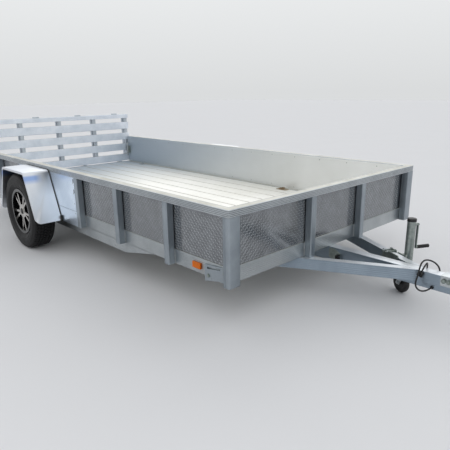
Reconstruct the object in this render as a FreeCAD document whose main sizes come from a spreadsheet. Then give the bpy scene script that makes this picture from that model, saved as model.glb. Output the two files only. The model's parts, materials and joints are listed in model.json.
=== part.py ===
# Single-axle open utility trailer, all aluminium, parked level on its tyres and its tongue jack.
# The bed has tread-plate sides between two rails, planks running lengthwise, posts outside the sides,
# a two-part slatted gate folded upright at the rear and an A-frame tongue with a centre tube.
# X points forward along the tongue, Y to the trailer's left, Z up. The origin is on the ground,
# in the middle of the whole trailer's length and width. Lengths are millimetres, angles degrees.

import FreeCAD, Part
import math
import os
import re
import Sketcher

# The tyre's wall from its bulge to the tread: share of the sidewall's height, inset from the widest line
TYRE_WALL = (
    (0.38, 0),
    (0.88, 13),
    (1, 46),
)

# The harness's route from its grommet, down and up beside the centre tube, twice over it, to its plug
HARNESS_ROUTE = (
    (2394, -44, 210),
    (2394, -68, 210),
    (2382, -86, 200),
    (2355, -94, 189),
    (2325, -93, 197),
    (2311, -89, 223),
    (2314, -83, 256),
    (2319, -77, 290),
    (2318, -64, 325),
    (2315, -38, 350),
    (2320, -3, 361),
    (2340, 29, 355),
    (2367, 50, 337),
    (2387, 60, 310),
    (2394, 64, 276),
    (2395, 66, 242),
    (2392, 67, 210),
    (2373, 68, 186),
    (2342, 69, 182),
    (2318, 68, 203),
    (2311, 63, 233),
    (2312, 58, 264),
    (2316, 51, 294),
    (2323, 34, 319),
    (2330.6, 12.1, 338.6),
    (2337, -14.6, 344),
    (2337.5, -36, 335.3),
    (2333.2, -48.5, 317.7),
    (2326, -48.5, 298),
)

# Driving sizes: name, value, what it measures
SIZES = (
    ("bed_length", 4370, "bed, from the front posts' face to the rear sill's face"),
    ("bed_width", 2164, "bed, over the side posts"),
    ("rail_top", 762, "ground to the top of the top rail"),
    ("top_rail_deep", 57, "top rail, across"),
    ("top_rail_tall", 47, "top rail, height of its outer face"),
    ("top_rail_wall", 4, "top rail, wall"),
    ("corner_round", 22, "radius of the bed's front corners, seen from above"),
    ("opening_tall", 317, "side, from the lower rail to the top rail"),
    ("post_wide", 51, "side post, along the rail"),
    ("post_deep", 51, "side post, outwards"),
    ("post_wall", 4, "wall of a post's tube"),
    ("end_post_wide", 90, "front corner post, across the front"),
    ("post_pitch", 609.6, "side posts, centre to centre"),
    ("first_post", 589, "front face to the first side post's centre"),
    ("front_post_out", 305, "middle line to a front post's centre"),
    ("low_rail_tall", 100, "lower rail, height"),
    ("low_rail_deep", 50, "lower rail, across"),
    ("low_rail_wall", 5, "lower rail, wall"),
    ("panel_thick", 3, "tread-plate side"),
    ("panel_lap", 42, "side sheet, lapped up behind the top rail"),
    ("deck_thick", 25, "floor plank"),
    ("deck_drop", 2, "floor below the lower rail's top"),
    ("plank_count", 11, "floor planks"),
    ("plank_gap", 2, "gap between planks"),
    ("cross_wide", 38, "crossmember, along the bed"),
    ("cross_pitch", 406.4, "crossmembers, centre to centre"),
    ("cross_count", 10, "crossmembers"),
    ("sub_rail_tall", 76, "rail under the lower rail at the axle"),
    ("sub_rail_reach", 1378, "axle to where that rail starts to taper"),
    ("sub_rail_taper", 376, "length of its tapered end"),
    ("axle_back", 2557, "front face to the wheels' axis"),
    ("beam_size", 76, "square axle beam"),
    ("beam_wall", 6, "axle beam, wall"),
    ("beam_gap", 8, "axle beam to the rails before and behind it"),
    ("arm_length", 152, "torsion arm, beam axis to spindle axis"),
    ("arm_thick", 26, "torsion arm, across"),
    ("arm_gap", 8, "torsion arm to the rail beside it"),
    ("spindle_radius", 19, "wheel spindle"),
    ("bearing_gap", 0.05, "spindle in its hub, all round"),
    ("hub_radius", 42, "hub barrel"),
    ("drum_radius", 127, "brake drum"),
    ("drum_wide", 58, "brake drum, across"),
    ("drum_gap", 6, "drum to the torsion arm"),
    ("drum_clear", 14, "smooth side sheet cut back round the drum"),
    ("tyre_radius", 344, "tyre under load"),
    ("tyre_wide", 205, "tyre section"),
    ("tyre_gap", 13, "bed's side to the tyre"),
    ("bead_radius", 190, "rim at the tyre's bead"),
    ("rim_lip", 207, "rim flange radius"),
    ("rim_wide", 152, "rim between its flanges"),
    ("rim_wall", 8, "rim barrel and flange"),
    ("rim_fit", 0.3, "tyre to rim"),
    ("spoke_count", 5, "split spokes"),
    ("spoke_thick", 24, "spoke, front to back"),
    ("spoke_inset", 16, "spoke's face behind the rim's edge"),
    ("spoke_arm", 21, "width of one arm of a split spoke"),
    ("spoke_spread", 12, "half angle between a spoke's two arms at the rim"),
    ("cap_radius", 31, "wheel's centre cap"),
    ("fender_wide", 228, "fender, outwards from the bed's side"),
    ("fender_rise", 44, "tyre's top to the fender's flat top"),
    ("fender_foot", 303, "ground to the fender's lower edges"),
    ("fender_cut", 93, "half the flat top, short of the tyre's radius"),
    ("fender_reach", 85, "tyre's front to the fender's foot"),
    ("fender_thick", 3, "fender sheet"),
    ("fender_round", 40, "bends of the fender's top"),
    ("flap_round", 42, "rounded lower corners of the fender"),
    ("fender_lip", 20, "lip turned in along the fender's outer edge"),
    ("arch_seam", 34, "seam in the smooth side sheet, above the lower rail"),
    ("skirt_gap", 16, "tyre's front to the smooth lower sheet"),
    ("leg_tall", 76, "tongue leg, height"),
    ("leg_wide", 51, "tongue leg, across"),
    ("leg_wall", 5, "tongue leg, wall"),
    ("leg_angle", 27.8, "tongue leg to the middle line"),
    ("leg_spread", 356, "middle line to the leg's outer side, at the bed's front face"),
    ("leg_back", 622, "tongue leg, under the bed"),
    ("centre_tall", 102, "tongue's centre tube, height"),
    ("centre_wide", 76, "tongue's centre tube, across"),
    ("centre_wall", 6, "tongue's centre tube, wall"),
    ("centre_back", 1230, "centre tube, under the bed"),
    ("centre_ahead", 985, "bed's front face to the centre tube's end"),
    ("ball_ahead", 1070, "bed's front face to the coupler's ball"),
    ("ball_radius", 25.4, "towing ball"),
    ("ball_gap", 0.5, "ball in the coupler's socket, all round"),
    ("coupler_wall", 5, "coupler's pressed sheet"),
    ("coupler_fit", 0.3, "coupler over the centre tube"),
    ("coupler_back", 745, "bed's front face to the coupler's rear end"),
    ("coupler_nose", 50, "ball's centre to the coupler's nose"),
    ("coupler_tall", 60, "coupler's side flanges"),
    ("jack_ahead", 395, "bed's front face to the jack's pivot"),
    ("jack_off", 65, "leg's outer side to the jack's axis"),
    ("jack_top", 545, "ground to the top of the jack's tube"),
    ("jack_foot", 196, "ground to the lower end of the jack's tube"),
    ("jack_radius", 28.5, "jack's outer tube"),
    ("jack_wall", 3, "jack's outer tube, wall"),
    ("jack_slide", 0.5, "inner leg in the outer tube, all round"),
    ("jack_spare", 14, "jack, cranked further in"),
    ("jack_plate", 8, "jack's mounting plates"),
    ("jack_face", 0.5, "gap between the two mounting plates"),
    ("pivot_radius", 15, "jack's pivot pin"),
    ("pivot_grip", 4, "pivot pin, past the turning plate"),
    ("crank_reach", 160, "crank arm"),
    ("crank_drop", 42, "crank shaft below the jack's top"),
    ("grip_long", 95, "crank's grip"),
    ("grip_radius", 11, "crank's grip, across"),
    ("caster_radius", 75, "caster wheel"),
    ("caster_wide", 42, "caster wheel, across"),
    ("caster_trail", 48, "caster's swivel axis to the wheel's axis"),
    ("caster_gap", 6, "caster wheel to its fork"),
    ("caster_pin", 6, "caster wheel's axle"),
    ("swivel_gap", 0.3, "fork's crown to the leg it turns under"),
    ("fork_thick", 5, "caster's fork"),
    ("gate_side", 36, "bed's side to the gate's side"),
    ("gate_tall", 671, "gate's lower half"),
    ("gate_clear", 6, "gate's slats behind the bed"),
    ("gate_lead", 6, "slats' face ahead of the gate's hinge axis"),
    ("gate_end", 16, "hinge axis to the gate's lower edge"),
    ("hinge_drop", 8, "gate's hinge axis below the rear sill's top"),
    ("hinge_radius", 10, "gate's lower knuckles"),
    ("pin_radius", 5, "gate's hinge pins"),
    ("pin_gap", 0.06, "hinge pin in a turning knuckle, all round"),
    ("knuckle_long", 40, "one knuckle"),
    ("knuckle_gap", 1, "knuckle to knuckle"),
    ("hinge_edge", 186, "gate's side to the outer hinges"),
    ("hinge_in", 290, "middle line to the inner hinges"),
    ("upright_size", 38, "gate's square tubes"),
    ("upright_count", 5, "gate's uprights"),
    ("slat_over", 11, "slats past the outer uprights"),
    ("slat_thick", 16, "gate slat"),
    ("slat_tall", 97, "gate slat, height"),
    ("slat_wall", 3, "gate slat, wall"),
    ("slat_pitch", 155, "gate slats, edge to edge"),
    ("slat_count", 4, "wide slats in the gate's lower half"),
    ("slat_sink", 12, "upper half's slats, lower than the slats they fold behind"),
    ("gate_bar_tall", 52, "narrow slat along the fold, and at the upper half's far end"),
    ("fold_gap", 24, "between the folded halves' tubes"),
    ("fold_rise", 6, "fold's axis above the lower half's top"),
    ("fold_radius", 9, "fold's knuckles"),
    ("fold_pin", 4, "fold's pins"),
    ("ring_radius", 26, "tie-down ring, at its bar's middle"),
    ("ring_bar", 5, "tie-down ring's bar, radius"),
    ("ring_front", 1320, "front face to the front tie-downs"),
    ("ring_rear", 440, "rear sill's face to the rear tie-downs"),
    ("marker_back", 337, "front face to the front side marker"),
    ("marker_long", 75, "side marker lamp"),
    ("marker_tall", 40, "side marker lamp, height"),
    ("marker_thick", 12, "side marker lamp, outwards"),
    ("tail_lamp_in", 177, "bed's side to a tail lamp's middle"),
    ("tail_lamp_long", 165, "tail lamp"),
    ("tail_lamp_tall", 58, "tail lamp, height"),
    ("tail_lamp_thick", 6, "tail lamp, outwards"),
    ("gusset_long", 205, "tie-down plate behind the front corner post"),
    ("gusset_top", 2, "tie-down plate's highest corner below the lower rail's top"),
    ("gusset_rise", 18, "slant of its upper edge and of its slot, higher in front"),
    ("gusset_drop", 28, "its rear corner below the lower rail"),
    ("gusset_slope", 127, "its slanted lower edge, up to the rail's underside"),
    ("gusset_thick", 12, "tie-down plate, outwards"),
    ("strap_slot_long", 118, "strap slot in the tie-down plate"),
    ("strap_slot_tall", 13, "strap slot, height"),
    ("strap_slot_edge", 13, "slot below the plate's upper edge"),
    ("strap_slot_back", 20, "plate's rear edge to its slot"),
    ("cord_radius", 5, "wiring harness"),
    ("harness_ahead", 700, "bed's front face to the harness's hole"),
    ("harness_up", 14, "centre tube's underside to the harness's hole"),
    ("grommet_radius", 11, "grommet's flange"),
    ("grommet_thick", 6, "grommet's flange, outwards"),
    ("grommet_neck", 8, "grommet in the tube's wall"),
    ("plug_long", 34, "harness's plug"),
    ("plug_wide", 36, "plug, across its face"),
    ("plug_thick", 20, "plug, outwards from the tube"),
    ("plug_gap", 0.5, "plug to the tube it lies on"),
    ("plug_turn", 20, "plug, leant back from upright"),
)

# Places worked out from the sizes: name, formula
PLACES = (
    ("tongue_reach", "ball_ahead + coupler_nose"),
    ("gate_reach", "gate_clear + 2 * (slat_thick + upright_size) + fold_gap"),
    ("bed_front", "(bed_length + gate_reach - tongue_reach) / 2"),
    ("bed_rear", "bed_front - bed_length"),
    ("half_width", "bed_width / 2"),
    ("wall_face", "half_width - post_deep"),
    ("panel_face", "half_width - top_rail_deep"),
    ("rail_inner", "wall_face - low_rail_deep"),
    ("front_wall", "bed_front - post_deep"),
    ("front_panel_face", "bed_front - top_rail_deep"),
    ("front_inner", "front_wall - low_rail_deep"),
    ("top_under", "rail_top - top_rail_tall"),
    ("low_top", "top_under - opening_tall"),
    ("low_bottom", "low_top - low_rail_tall"),
    ("deck_top", "low_top - deck_drop"),
    ("deck_under", "deck_top - deck_thick"),
    ("sub_bottom", "low_bottom - sub_rail_tall"),
    ("axle_x", "bed_front - axle_back"),
    ("sidewall", "tyre_radius - rim_lip"),
    ("beam_z", "low_bottom - beam_size / 2"),
    ("arm_rise", "tyre_radius - beam_z"),
    ("arm_run", "sqrt(arm_length ^ 2 - arm_rise ^ 2)"),
    ("beam_x", "axle_x + arm_run"),
    ("arm_inner", "wall_face + arm_gap"),
    ("arm_outer", "arm_inner + arm_thick"),
    ("drum_inner", "arm_outer + drum_gap"),
    ("drum_outer", "drum_inner + drum_wide"),
    ("tyre_inner", "half_width + tyre_gap"),
    ("tyre_middle", "tyre_inner + tyre_wide / 2"),
    ("rim_outer", "tyre_middle + rim_wide / 2 + rim_wall"),
    ("spoke_face", "rim_outer - spoke_inset"),
    ("spoke_back", "spoke_face - spoke_thick"),
    ("fender_outer", "half_width + fender_wide"),
    ("fender_top", "2 * tyre_radius + fender_rise"),
    ("fender_flat", "tyre_radius - fender_cut"),
    ("fender_span", "tyre_radius + fender_reach"),
    ("skirt_reach", "tyre_radius + skirt_gap"),
    ("arch_front", "bed_front - first_post - 2 * post_pitch - post_wide / 2"),
    ("arch_rear", "bed_front - first_post - 4 * post_pitch + post_wide / 2"),
    ("seam_z", "low_top + arch_seam"),
    ("leg_bottom", "low_bottom - leg_tall"),
    ("leg_middle", "low_bottom - leg_tall / 2"),
    ("leg_slope", "tan(leg_angle)"),
    ("leg_across", "leg_wide / cos(leg_angle)"),
    ("leg_skin", "leg_wall / cos(leg_angle)"),
    ("centre_half", "centre_wide / 2"),
    ("centre_bottom", "low_bottom - centre_tall"),
    ("ball_x", "bed_front + ball_ahead"),
    ("harness_x", "bed_front + harness_ahead"),
    ("harness_z", "centre_bottom + harness_up"),
    ("jack_x", "bed_front + jack_ahead"),
    ("jack_y", "leg_spread - jack_ahead * leg_slope"),
    ("jack_high", "jack_top - leg_middle"),
    ("jack_low", "jack_foot - leg_middle"),
    ("inner_radius", "jack_radius - jack_wall - jack_slide"),
    ("head_z", "2 * caster_radius + caster_gap + fork_thick + swivel_gap - leg_middle"),
    ("caster_z", "caster_radius - leg_middle"),
    ("gate_half", "half_width - gate_side"),
    ("hinge_out", "gate_half - hinge_edge"),
    ("upright_out", "gate_half - slat_over - upright_size / 2"),
    ("gate_hinge_x", "bed_rear - gate_clear - gate_lead"),
    ("gate_hinge_z", "low_top - hinge_drop"),
    ("gate_face", "gate_hinge_x + gate_lead"),
    ("gate_back", "gate_face - slat_thick - upright_size"),
    ("gate_low", "gate_hinge_z + gate_end"),
    ("gate_high", "gate_low + gate_tall"),
    ("fold_x", "gate_back - fold_gap / 2"),
    ("fold_z", "gate_high + fold_rise"),
    ("upper_face", "gate_back - fold_gap"),
    ("upper_back", "upper_face - upright_size - slat_thick"),
    ("upper_low", "gate_low + slat_tall - slat_sink - gate_bar_tall"),
)

doc = FreeCAD.newDocument("UtilityTrailer")


def make_sheet(name, rows, formula):
    """A sheet with one named cell in each row."""
    sheet = doc.addObject("Spreadsheet::Sheet", name)
    for number, row in enumerate(rows, start=1):
        cell = f"A{number}"
        sheet.set(cell, formula(row[1]))
        sheet.setAlias(cell, row[0])
    return sheet


SIZE_NAMES = {row[0] for row in SIZES}
PLACE_NAMES = {row[0] for row in PLACES}


def refer(formula):
    """A formula of size and place names, as an expression that names their sheets."""
    def full(match):
        word = match.group(0)
        if word in SIZE_NAMES:
            return "Sizes." + word
        if word in PLACE_NAMES:
            return "Places." + word
        return word
    return re.sub(r"[A-Za-z_][A-Za-z_0-9]*", full, str(formula))


sizes = make_sheet("Sizes", SIZES, str)
places = make_sheet("Places", PLACES, lambda text: "=" + refer(text))
scratch = doc.addObject("Spreadsheet::Sheet", "Scratch")
doc.recompute()


def number(formula):
    """The value of a formula of size and place names."""
    scratch.set("A1", "=" + refer(formula))
    scratch.recompute()
    return float(scratch.get("A1"))


def fresh(name):
    """A name for a helper object that no other object has."""
    count = len([item for item in doc.Objects if item.Name.startswith(name)])
    return f"{name}_{count + 1}"


def block(name, x, y, z):
    """A box between pairs of formulas along X, Y and Z."""
    box = doc.addObject("Part::Box", fresh(name))
    for size, axis, (low, high) in (("Length", "x", x), ("Width", "y", y), ("Height", "z", z)):
        box.setExpression(size, refer(f"({high}) - ({low})"))
        box.setExpression(f"Placement.Base.{axis}", refer(low))
    return box


# Turns that lay a cylinder, made upright, along each axis
ALONG = {
    "x": FreeCAD.Rotation(FreeCAD.Vector(0, 1, 0), 90),
    "y": FreeCAD.Rotation(FreeCAD.Vector(1, 0, 0), -90),
    "z": FreeCAD.Rotation(),
}


def rod(name, along, radius, at, length):
    """A cylinder from a point, along an axis letter, all sizes being formulas."""
    cylinder = doc.addObject("Part::Cylinder", fresh(name))
    cylinder.Placement = FreeCAD.Placement(FreeCAD.Vector(), ALONG[along])
    cylinder.setExpression("Radius", refer(radius))
    cylinder.setExpression("Height", refer(length))
    for axis, formula in zip("xyz", at):
        cylinder.setExpression(f"Placement.Base.{axis}", refer(formula))
    return cylinder


def cut(name, base, tool):
    result = doc.addObject("Part::Cut", fresh(name))
    result.Base = base
    result.Tool = tool
    return result


def fuse(name, pieces):
    result = doc.addObject("Part::MultiFuse", fresh(name))
    result.Shapes = pieces
    result.Refine = True
    return result


def gather(name, pieces):
    """Pieces that don't touch, as one group."""
    result = doc.addObject("Part::Compound", fresh(name))
    result.Links = pieces
    return result


def mirror(name, source):
    """The same piece on the trailer's other side."""
    result = doc.addObject("Part::Mirroring", fresh(name))
    result.Source = source
    result.Normal = (0, 1, 0)
    return result


def outline_sketch(body, name, plane, outline):
    """A closed outline of straight sides on one of a body's own planes, each corner bound to formulas."""
    sketch = body.newObject("Sketcher::SketchObject", name + "_outline")
    sheet = [item for item in body.Origin.OriginFeatures if item.Role == plane + "_Plane"][0]
    sketch.AttachmentSupport = (sheet, [""])
    sketch.MapMode = "FlatFace"
    corners = [FreeCAD.Vector(number(across), number(up), 0) for across, up in outline]
    count = len(corners)
    for index in range(count):
        side = Part.LineSegment(corners[index], corners[(index + 1) % count])
        sketch.addGeometry(side, False)
    for index in range(count):
        sketch.addConstraint(Sketcher.Constraint("Coincident", index, 2, (index + 1) % count, 1))
    for index, (across, up) in enumerate(outline):
        for kind, formula, value in (("DistanceX", across, corners[index].x),
                                     ("DistanceY", up, corners[index].y)):
            place = sketch.addConstraint(Sketcher.Constraint(kind, -1, 1, index, 1, value))
            sketch.setExpression(f"Constraints[{place}]", refer(formula))
    return sketch


def plate(name, plane, outline, start, depth):
    """An outline on the XY, YZ or XZ plane, padded by depth along +Z, +X or -Y from its start."""
    body = doc.addObject("PartDesign::Body", fresh(name))
    sketch = outline_sketch(body, body.Name, plane, outline)
    pad = body.newObject("PartDesign::Pad", body.Name + "_pad")
    pad.Profile = sketch
    pad.setExpression("Length", refer(depth))
    axis, formula = {"XY": ("z", start), "YZ": ("x", start), "XZ": ("y", start)}[plane]
    body.setExpression(f"Placement.Base.{axis}", refer(formula))
    return body


def turned(name, outline, at):
    """An outline of (radius, Y) corners, turned about an axis along Y through at."""
    body = doc.addObject("PartDesign::Body", fresh(name))
    sketch = outline_sketch(body, body.Name, "XY", outline)
    turn = body.newObject("PartDesign::Revolution", body.Name + "_turn")
    turn.Profile = sketch
    turn.ReferenceAxis = (sketch, ["V_Axis"])
    turn.Angle = 360
    for axis, formula in zip("xyz", at):
        body.setExpression(f"Placement.Base.{axis}", refer(formula))
    return body


def tube(name, x, y, z, along, wall):
    """A square tube, open at both ends along one axis."""
    outer = block(name, x, y, z)
    inner = [pair if axis == along else (f"({pair[0]}) + {wall}", f"({pair[1]}) - {wall}")
             for axis, pair in zip("xyz", (x, y, z))]
    return cut(name, outer, block(name, *inner))


NODES = {}


def node(name, piece):
    """Names a finished piece as a sub-part."""
    piece.Label = name
    NODES[name] = piece
    return piece


def both_sides(name, right):
    """The photographed right side's piece and its mirror image on the left."""
    node(name + "_right", right)
    return node(name + "_left", mirror(name, right))


def make_top_rails():
    """Three rails round the bed's top, mitred and rounded at the two front corners."""
    corner = block("corner_waste",
                   ("bed_front - corner_round", "bed_front + 1"),
                   ("-half_width - 1", "-half_width + corner_round"),
                   ("top_under - 1", "rail_top + 1"))
    arc = rod("corner_arc", "z", "corner_round",
              ("bed_front - corner_round", "-half_width + corner_round", "top_under - 2"),
              "top_rail_tall + 4")
    waste = cut("corner_waste", corner, arc)
    side = plate("top_side", "XY", (
        ("bed_rear", "-half_width"),
        ("bed_front", "-half_width"),
        ("front_panel_face", "-panel_face"),
        ("bed_rear", "-panel_face")), "top_under", "top_rail_tall")
    hollow = block("top_hollow", ("bed_rear - 1", "front_panel_face"),
                   ("-half_width + top_rail_wall", "-panel_face - top_rail_wall"),
                   ("top_under + top_rail_wall", "rail_top - top_rail_wall"))
    both_sides("top_rail", cut("top_side", cut("top_side", side, waste), hollow))
    front = plate("top_front", "XY", (
        ("bed_front", "-half_width"),
        ("bed_front", "half_width"),
        ("front_panel_face", "panel_face"),
        ("front_panel_face", "-panel_face")), "top_under", "top_rail_tall")
    front = cut("top_front", cut("top_front", front, waste), mirror("corner_waste", waste))
    node("top_rail_front", front)


def make_low_rails():
    """Lower rails of box section round the bed, with the planks let in flush between them."""
    side = tube("low_side", ("bed_rear", "front_wall"), ("-wall_face", "-rail_inner"),
                ("low_bottom", "low_top"), "x", "low_rail_wall")
    both_sides("side_rail", side)
    node("front_rail", tube("front_rail", ("front_inner", "front_wall"),
                            ("-rail_inner", "rail_inner"), ("low_bottom", "low_top"),
                            "y", "low_rail_wall"))
    node("rear_sill", tube("rear_sill", ("bed_rear", "bed_rear + low_rail_deep"),
                           ("-rail_inner", "rail_inner"), ("low_bottom", "low_top"),
                           "y", "low_rail_wall"))


def make_deck():
    """Floor planks lengthwise, carried on crossmembers."""
    planks = []
    pitch = "(2 * rail_inner / plank_count)"
    for index in range(int(number("plank_count"))):
        low = f"-rail_inner + {index} * {pitch} + plank_gap / 2"
        planks.append(block("plank", ("bed_rear + low_rail_deep", "front_inner"),
                            (low, f"{low} + {pitch} - plank_gap"), ("deck_under", "deck_top")))
    node("deck_planks", gather("deck", planks))
    members = []
    for index in range(int(number("cross_count"))):
        middle = f"front_inner - {index + 1} * cross_pitch"
        members.append(tube("member", (f"{middle} - cross_wide / 2", f"{middle} + cross_wide / 2"),
                            ("-rail_inner", "rail_inner"), ("low_bottom", "deck_under"),
                            "y", "post_wall"))
    node("crossmembers", gather("members", members))


def make_sub_rails():
    """Deeper rails under the side rails near the axle, tapered at their far ends."""
    halves = []
    for sign, name in (("+", "sub_front"), ("-", "sub_rear")):
        near = f"beam_x {sign} (beam_size / 2 + beam_gap)"
        halves.append(plate(name, "XZ", (
            (near, "sub_bottom"),
            (f"axle_x {sign} sub_rail_reach", "sub_bottom"),
            (f"axle_x {sign} (sub_rail_reach + sub_rail_taper)", "low_bottom"),
            (near, "low_bottom")), "-rail_inner", "low_rail_deep"))
    both_sides("sub_rail", gather("sub_rail", halves))


def make_posts():
    """Posts outside the sides, with wide rounded ones at the front corners."""
    side = ("-half_width", "-wall_face")
    tall = ("low_bottom", "top_under")
    posts = []
    for index in (0, 1, 2, 4, 5):
        middle = f"bed_front - first_post - {index} * post_pitch"
        posts.append(tube("post", (f"{middle} - post_wide / 2", f"{middle} + post_wide / 2"),
                          side, tall, "z", "post_wall"))
    posts.append(tube("post", ("bed_rear", "bed_rear + post_wide"), side, tall, "z", "post_wall"))
    corner = tube("corner_post", ("front_wall", "bed_front"),
                  ("-half_width", "-half_width + end_post_wide"), tall, "z", "post_wall")
    edge = cut("post_edge",
               block("post_edge", ("bed_front - corner_round", "bed_front + 1"),
                     ("-half_width - 1", "-half_width + corner_round"),
                     ("low_bottom - 1", "top_under + 1")),
               rod("post_edge", "z", "corner_round",
                   ("bed_front - corner_round", "-half_width + corner_round", "low_bottom - 2"),
                   "top_under - low_bottom + 4"))
    posts.append(cut("corner_post", corner, edge))
    both_sides("posts", gather("posts", posts))
    fronts = []
    for sign in ("-", "+"):
        middle = f"{sign}front_post_out"
        fronts.append(tube("front_post", ("front_wall", "bed_front"),
                           (f"{middle} - post_wide / 2", f"{middle} + post_wide / 2"),
                           tall, "z", "post_wall"))
    node("front_posts", gather("front_posts", fronts))


def make_panels():
    """Tread-plate sheets inside the posts, and the smooth sheets behind the wheels."""
    sheet_top = "top_under + panel_lap"
    side = block("side_panel", ("bed_rear", "front_panel_face - panel_thick"),
                 ("-panel_face", "-panel_face + panel_thick"), ("low_top", sheet_top))
    both_sides("side_panel", side)
    node("front_panel", block("front_panel", ("front_panel_face - panel_thick", "front_panel_face"),
                              ("-panel_face", "panel_face"), ("low_top", sheet_top)))
    skin = ("-half_width", "-half_width + panel_thick")
    drum_way = rod("drum_way", "y", "drum_radius + drum_clear",
                   ("axle_x", "-half_width - 1", "tyre_radius"), "panel_thick + 2")
    sheets = [cut("arch_upper", block("arch_upper", ("arch_rear", "arch_front"), skin,
                                      ("seam_z", "top_under")), drum_way)]
    for name, low, high in (("arch_skirt", "axle_x + skirt_reach", "arch_front"),
                            ("arch_skirt", "arch_rear", "axle_x - skirt_reach")):
        sheets.append(block(name, (low, high), skin, ("low_bottom", "seam_z - plank_gap")))
    both_sides("arch_panel", gather("arch_panel", sheets))
    foot = "(low_bottom - gusset_drop)"
    head = "(low_top - gusset_top)"
    rear = "(front_wall - gusset_long)"
    gusset = plate("gusset", "XZ", (
        (rear, f"{head} - gusset_rise"), (rear, foot), (f"{rear} + gusset_slope", "low_bottom"),
        ("front_wall", "low_bottom"), ("front_wall", head)), "-wall_face", "gusset_thick")
    slot_rear = f"{rear} + strap_slot_back"
    slot_front = f"{slot_rear} + strap_slot_long"
    slot_top = f"{head} - gusset_rise - strap_slot_edge"
    slot = plate("strap_slot", "XZ", (
        (slot_rear, slot_top), (slot_rear, f"{slot_top} - strap_slot_tall"),
        (slot_front, f"{slot_top} - strap_slot_tall + gusset_rise"),
        (slot_front, f"{slot_top} + gusset_rise")), "-wall_face + 1", "gusset_thick + 2")
    both_sides("corner_gusset", cut("corner_gusset", gusset, slot))


def rounded_path(points, radii):
    """Edges through points as straight runs joined by tangent arcs, one radius for each inner point."""
    edges = []
    start = points[0]
    for before, corner, after, radius in zip(points, points[1:], points[2:], radii):
        back = (before - corner).normalize()
        ahead = (after - corner).normalize()
        half_turn = (math.pi - back.getAngle(ahead)) / 2
        reach = radius * math.tan(half_turn)
        middle = (back + ahead).normalize()
        inset = radius / math.cos(half_turn) - radius
        arc_start = corner + back * reach
        arc_end = corner + ahead * reach
        edges.append(Part.LineSegment(start, arc_start).toShape())
        edges.append(Part.Arc(arc_start, corner + middle * inset, arc_end).toShape())
        start = arc_end
    edges.append(Part.LineSegment(start, points[-1]).toShape())
    return edges


def fender_band(deep):
    """The fender's bent outline seen from the side, as a band of the given depth inwards."""
    middle = number("axle_x")
    top = number("fender_top")
    foot = number("fender_foot")
    flat = number("fender_flat")
    span = number("fender_span")
    bend = number("fender_round")
    slope = math.atan2(top - foot, span - flat)
    shift_foot = deep / math.sin(slope)
    shift_top = deep * math.tan(slope / 2)
    outer = [(-span, foot), (-flat, top), (flat, top), (span, foot)]
    inner = [(-span + shift_foot, foot), (-flat + shift_top, top - deep),
             (flat - shift_top, top - deep), (span - shift_foot, foot)]
    bands = []
    for corners, radius in ((outer, bend), (inner, bend - deep)):
        points = [FreeCAD.Vector(middle + x, 0, z) for x, z in corners]
        bands.append(rounded_path(points, [radius, radius]))
    ends = [Part.LineSegment(FreeCAD.Vector(middle + outer[side][0], 0, foot),
                             FreeCAD.Vector(middle + inner[side][0], 0, foot)).toShape()
            for side in (0, -1)]
    return Part.Face(Part.Wire(Part.__sortEdges__(bands[0] + bands[1] + ends)))


def make_fenders():
    """Fenders bent from one sheet: a flat top, two sloping ends and a lip along the outside."""
    side = -number("half_width")
    wide = number("fender_wide")
    thick = number("fender_thick")
    sheet = fender_band(thick).extrude(FreeCAD.Vector(0, -wide, 0))
    lip = fender_band(number("fender_lip")).extrude(FreeCAD.Vector(0, thick, 0))
    lip.translate(FreeCAD.Vector(0, -wide, 0))
    solid = sheet.fuse(lip).removeSplitter()
    solid.translate(FreeCAD.Vector(0, side, 0))
    shape = doc.addObject("Part::Feature", "fender_sheet")
    shape.Shape = solid
    along = ("axle_x - fender_span - 1", "2 * fender_span + 2")
    corner = block("flap_waste", (along[0], f"axle_x + fender_span + 1"),
                   ("-fender_outer - 1", "-fender_outer + flap_round"),
                   ("fender_foot - 1", "fender_foot + flap_round"))
    arc = rod("flap_arc", "x", "flap_round",
              (along[0], "-fender_outer + flap_round", "fender_foot + flap_round"), along[1])
    both_sides("fender", cut("fender", shape, cut("flap_waste", corner, arc)))


def make_axle():
    """A square torsion beam across the bed, with an arm and a spindle to each wheel."""
    beam = tube("beam", ("beam_x - beam_size / 2", "beam_x + beam_size / 2"),
                ("-wall_face", "wall_face"), ("beam_z - beam_size / 2", "beam_z + beam_size / 2"),
                "y", "beam_wall")
    node("axle_beam", beam)
    width = "arm_outer - arm_inner"
    near = rod("arm", "y", "beam_size / 2 - 2", ("beam_x", "-arm_outer", "beam_z"), width)
    far = rod("arm", "y", "2 * spindle_radius", ("axle_x", "-arm_outer", "tyre_radius"), width)
    half = "beam_size / 2 - 4"
    web = plate("arm_web", "XZ", (
        (f"beam_x - ({half}) * arm_rise / arm_length", f"beam_z - ({half}) * arm_run / arm_length"),
        (f"beam_x + ({half}) * arm_rise / arm_length", f"beam_z + ({half}) * arm_run / arm_length"),
        (f"axle_x + ({half}) * arm_rise / arm_length", f"tyre_radius + ({half}) * arm_run / arm_length"),
        (f"axle_x - ({half}) * arm_rise / arm_length", f"tyre_radius - ({half}) * arm_run / arm_length")),
        "-arm_inner", width)
    stub = rod("arm_stub", "y", "beam_size / 2 - 2",
               ("beam_x", "-arm_inner", "beam_z"), "arm_gap")
    spindle = rod("spindle", "y", "spindle_radius", ("axle_x", "-spoke_back + 4", "tyre_radius"),
                  "spoke_back - 4 - arm_outer")
    both_sides("torsion_arm", fuse("torsion_arm", [near, far, web, stub, spindle]))


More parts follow.
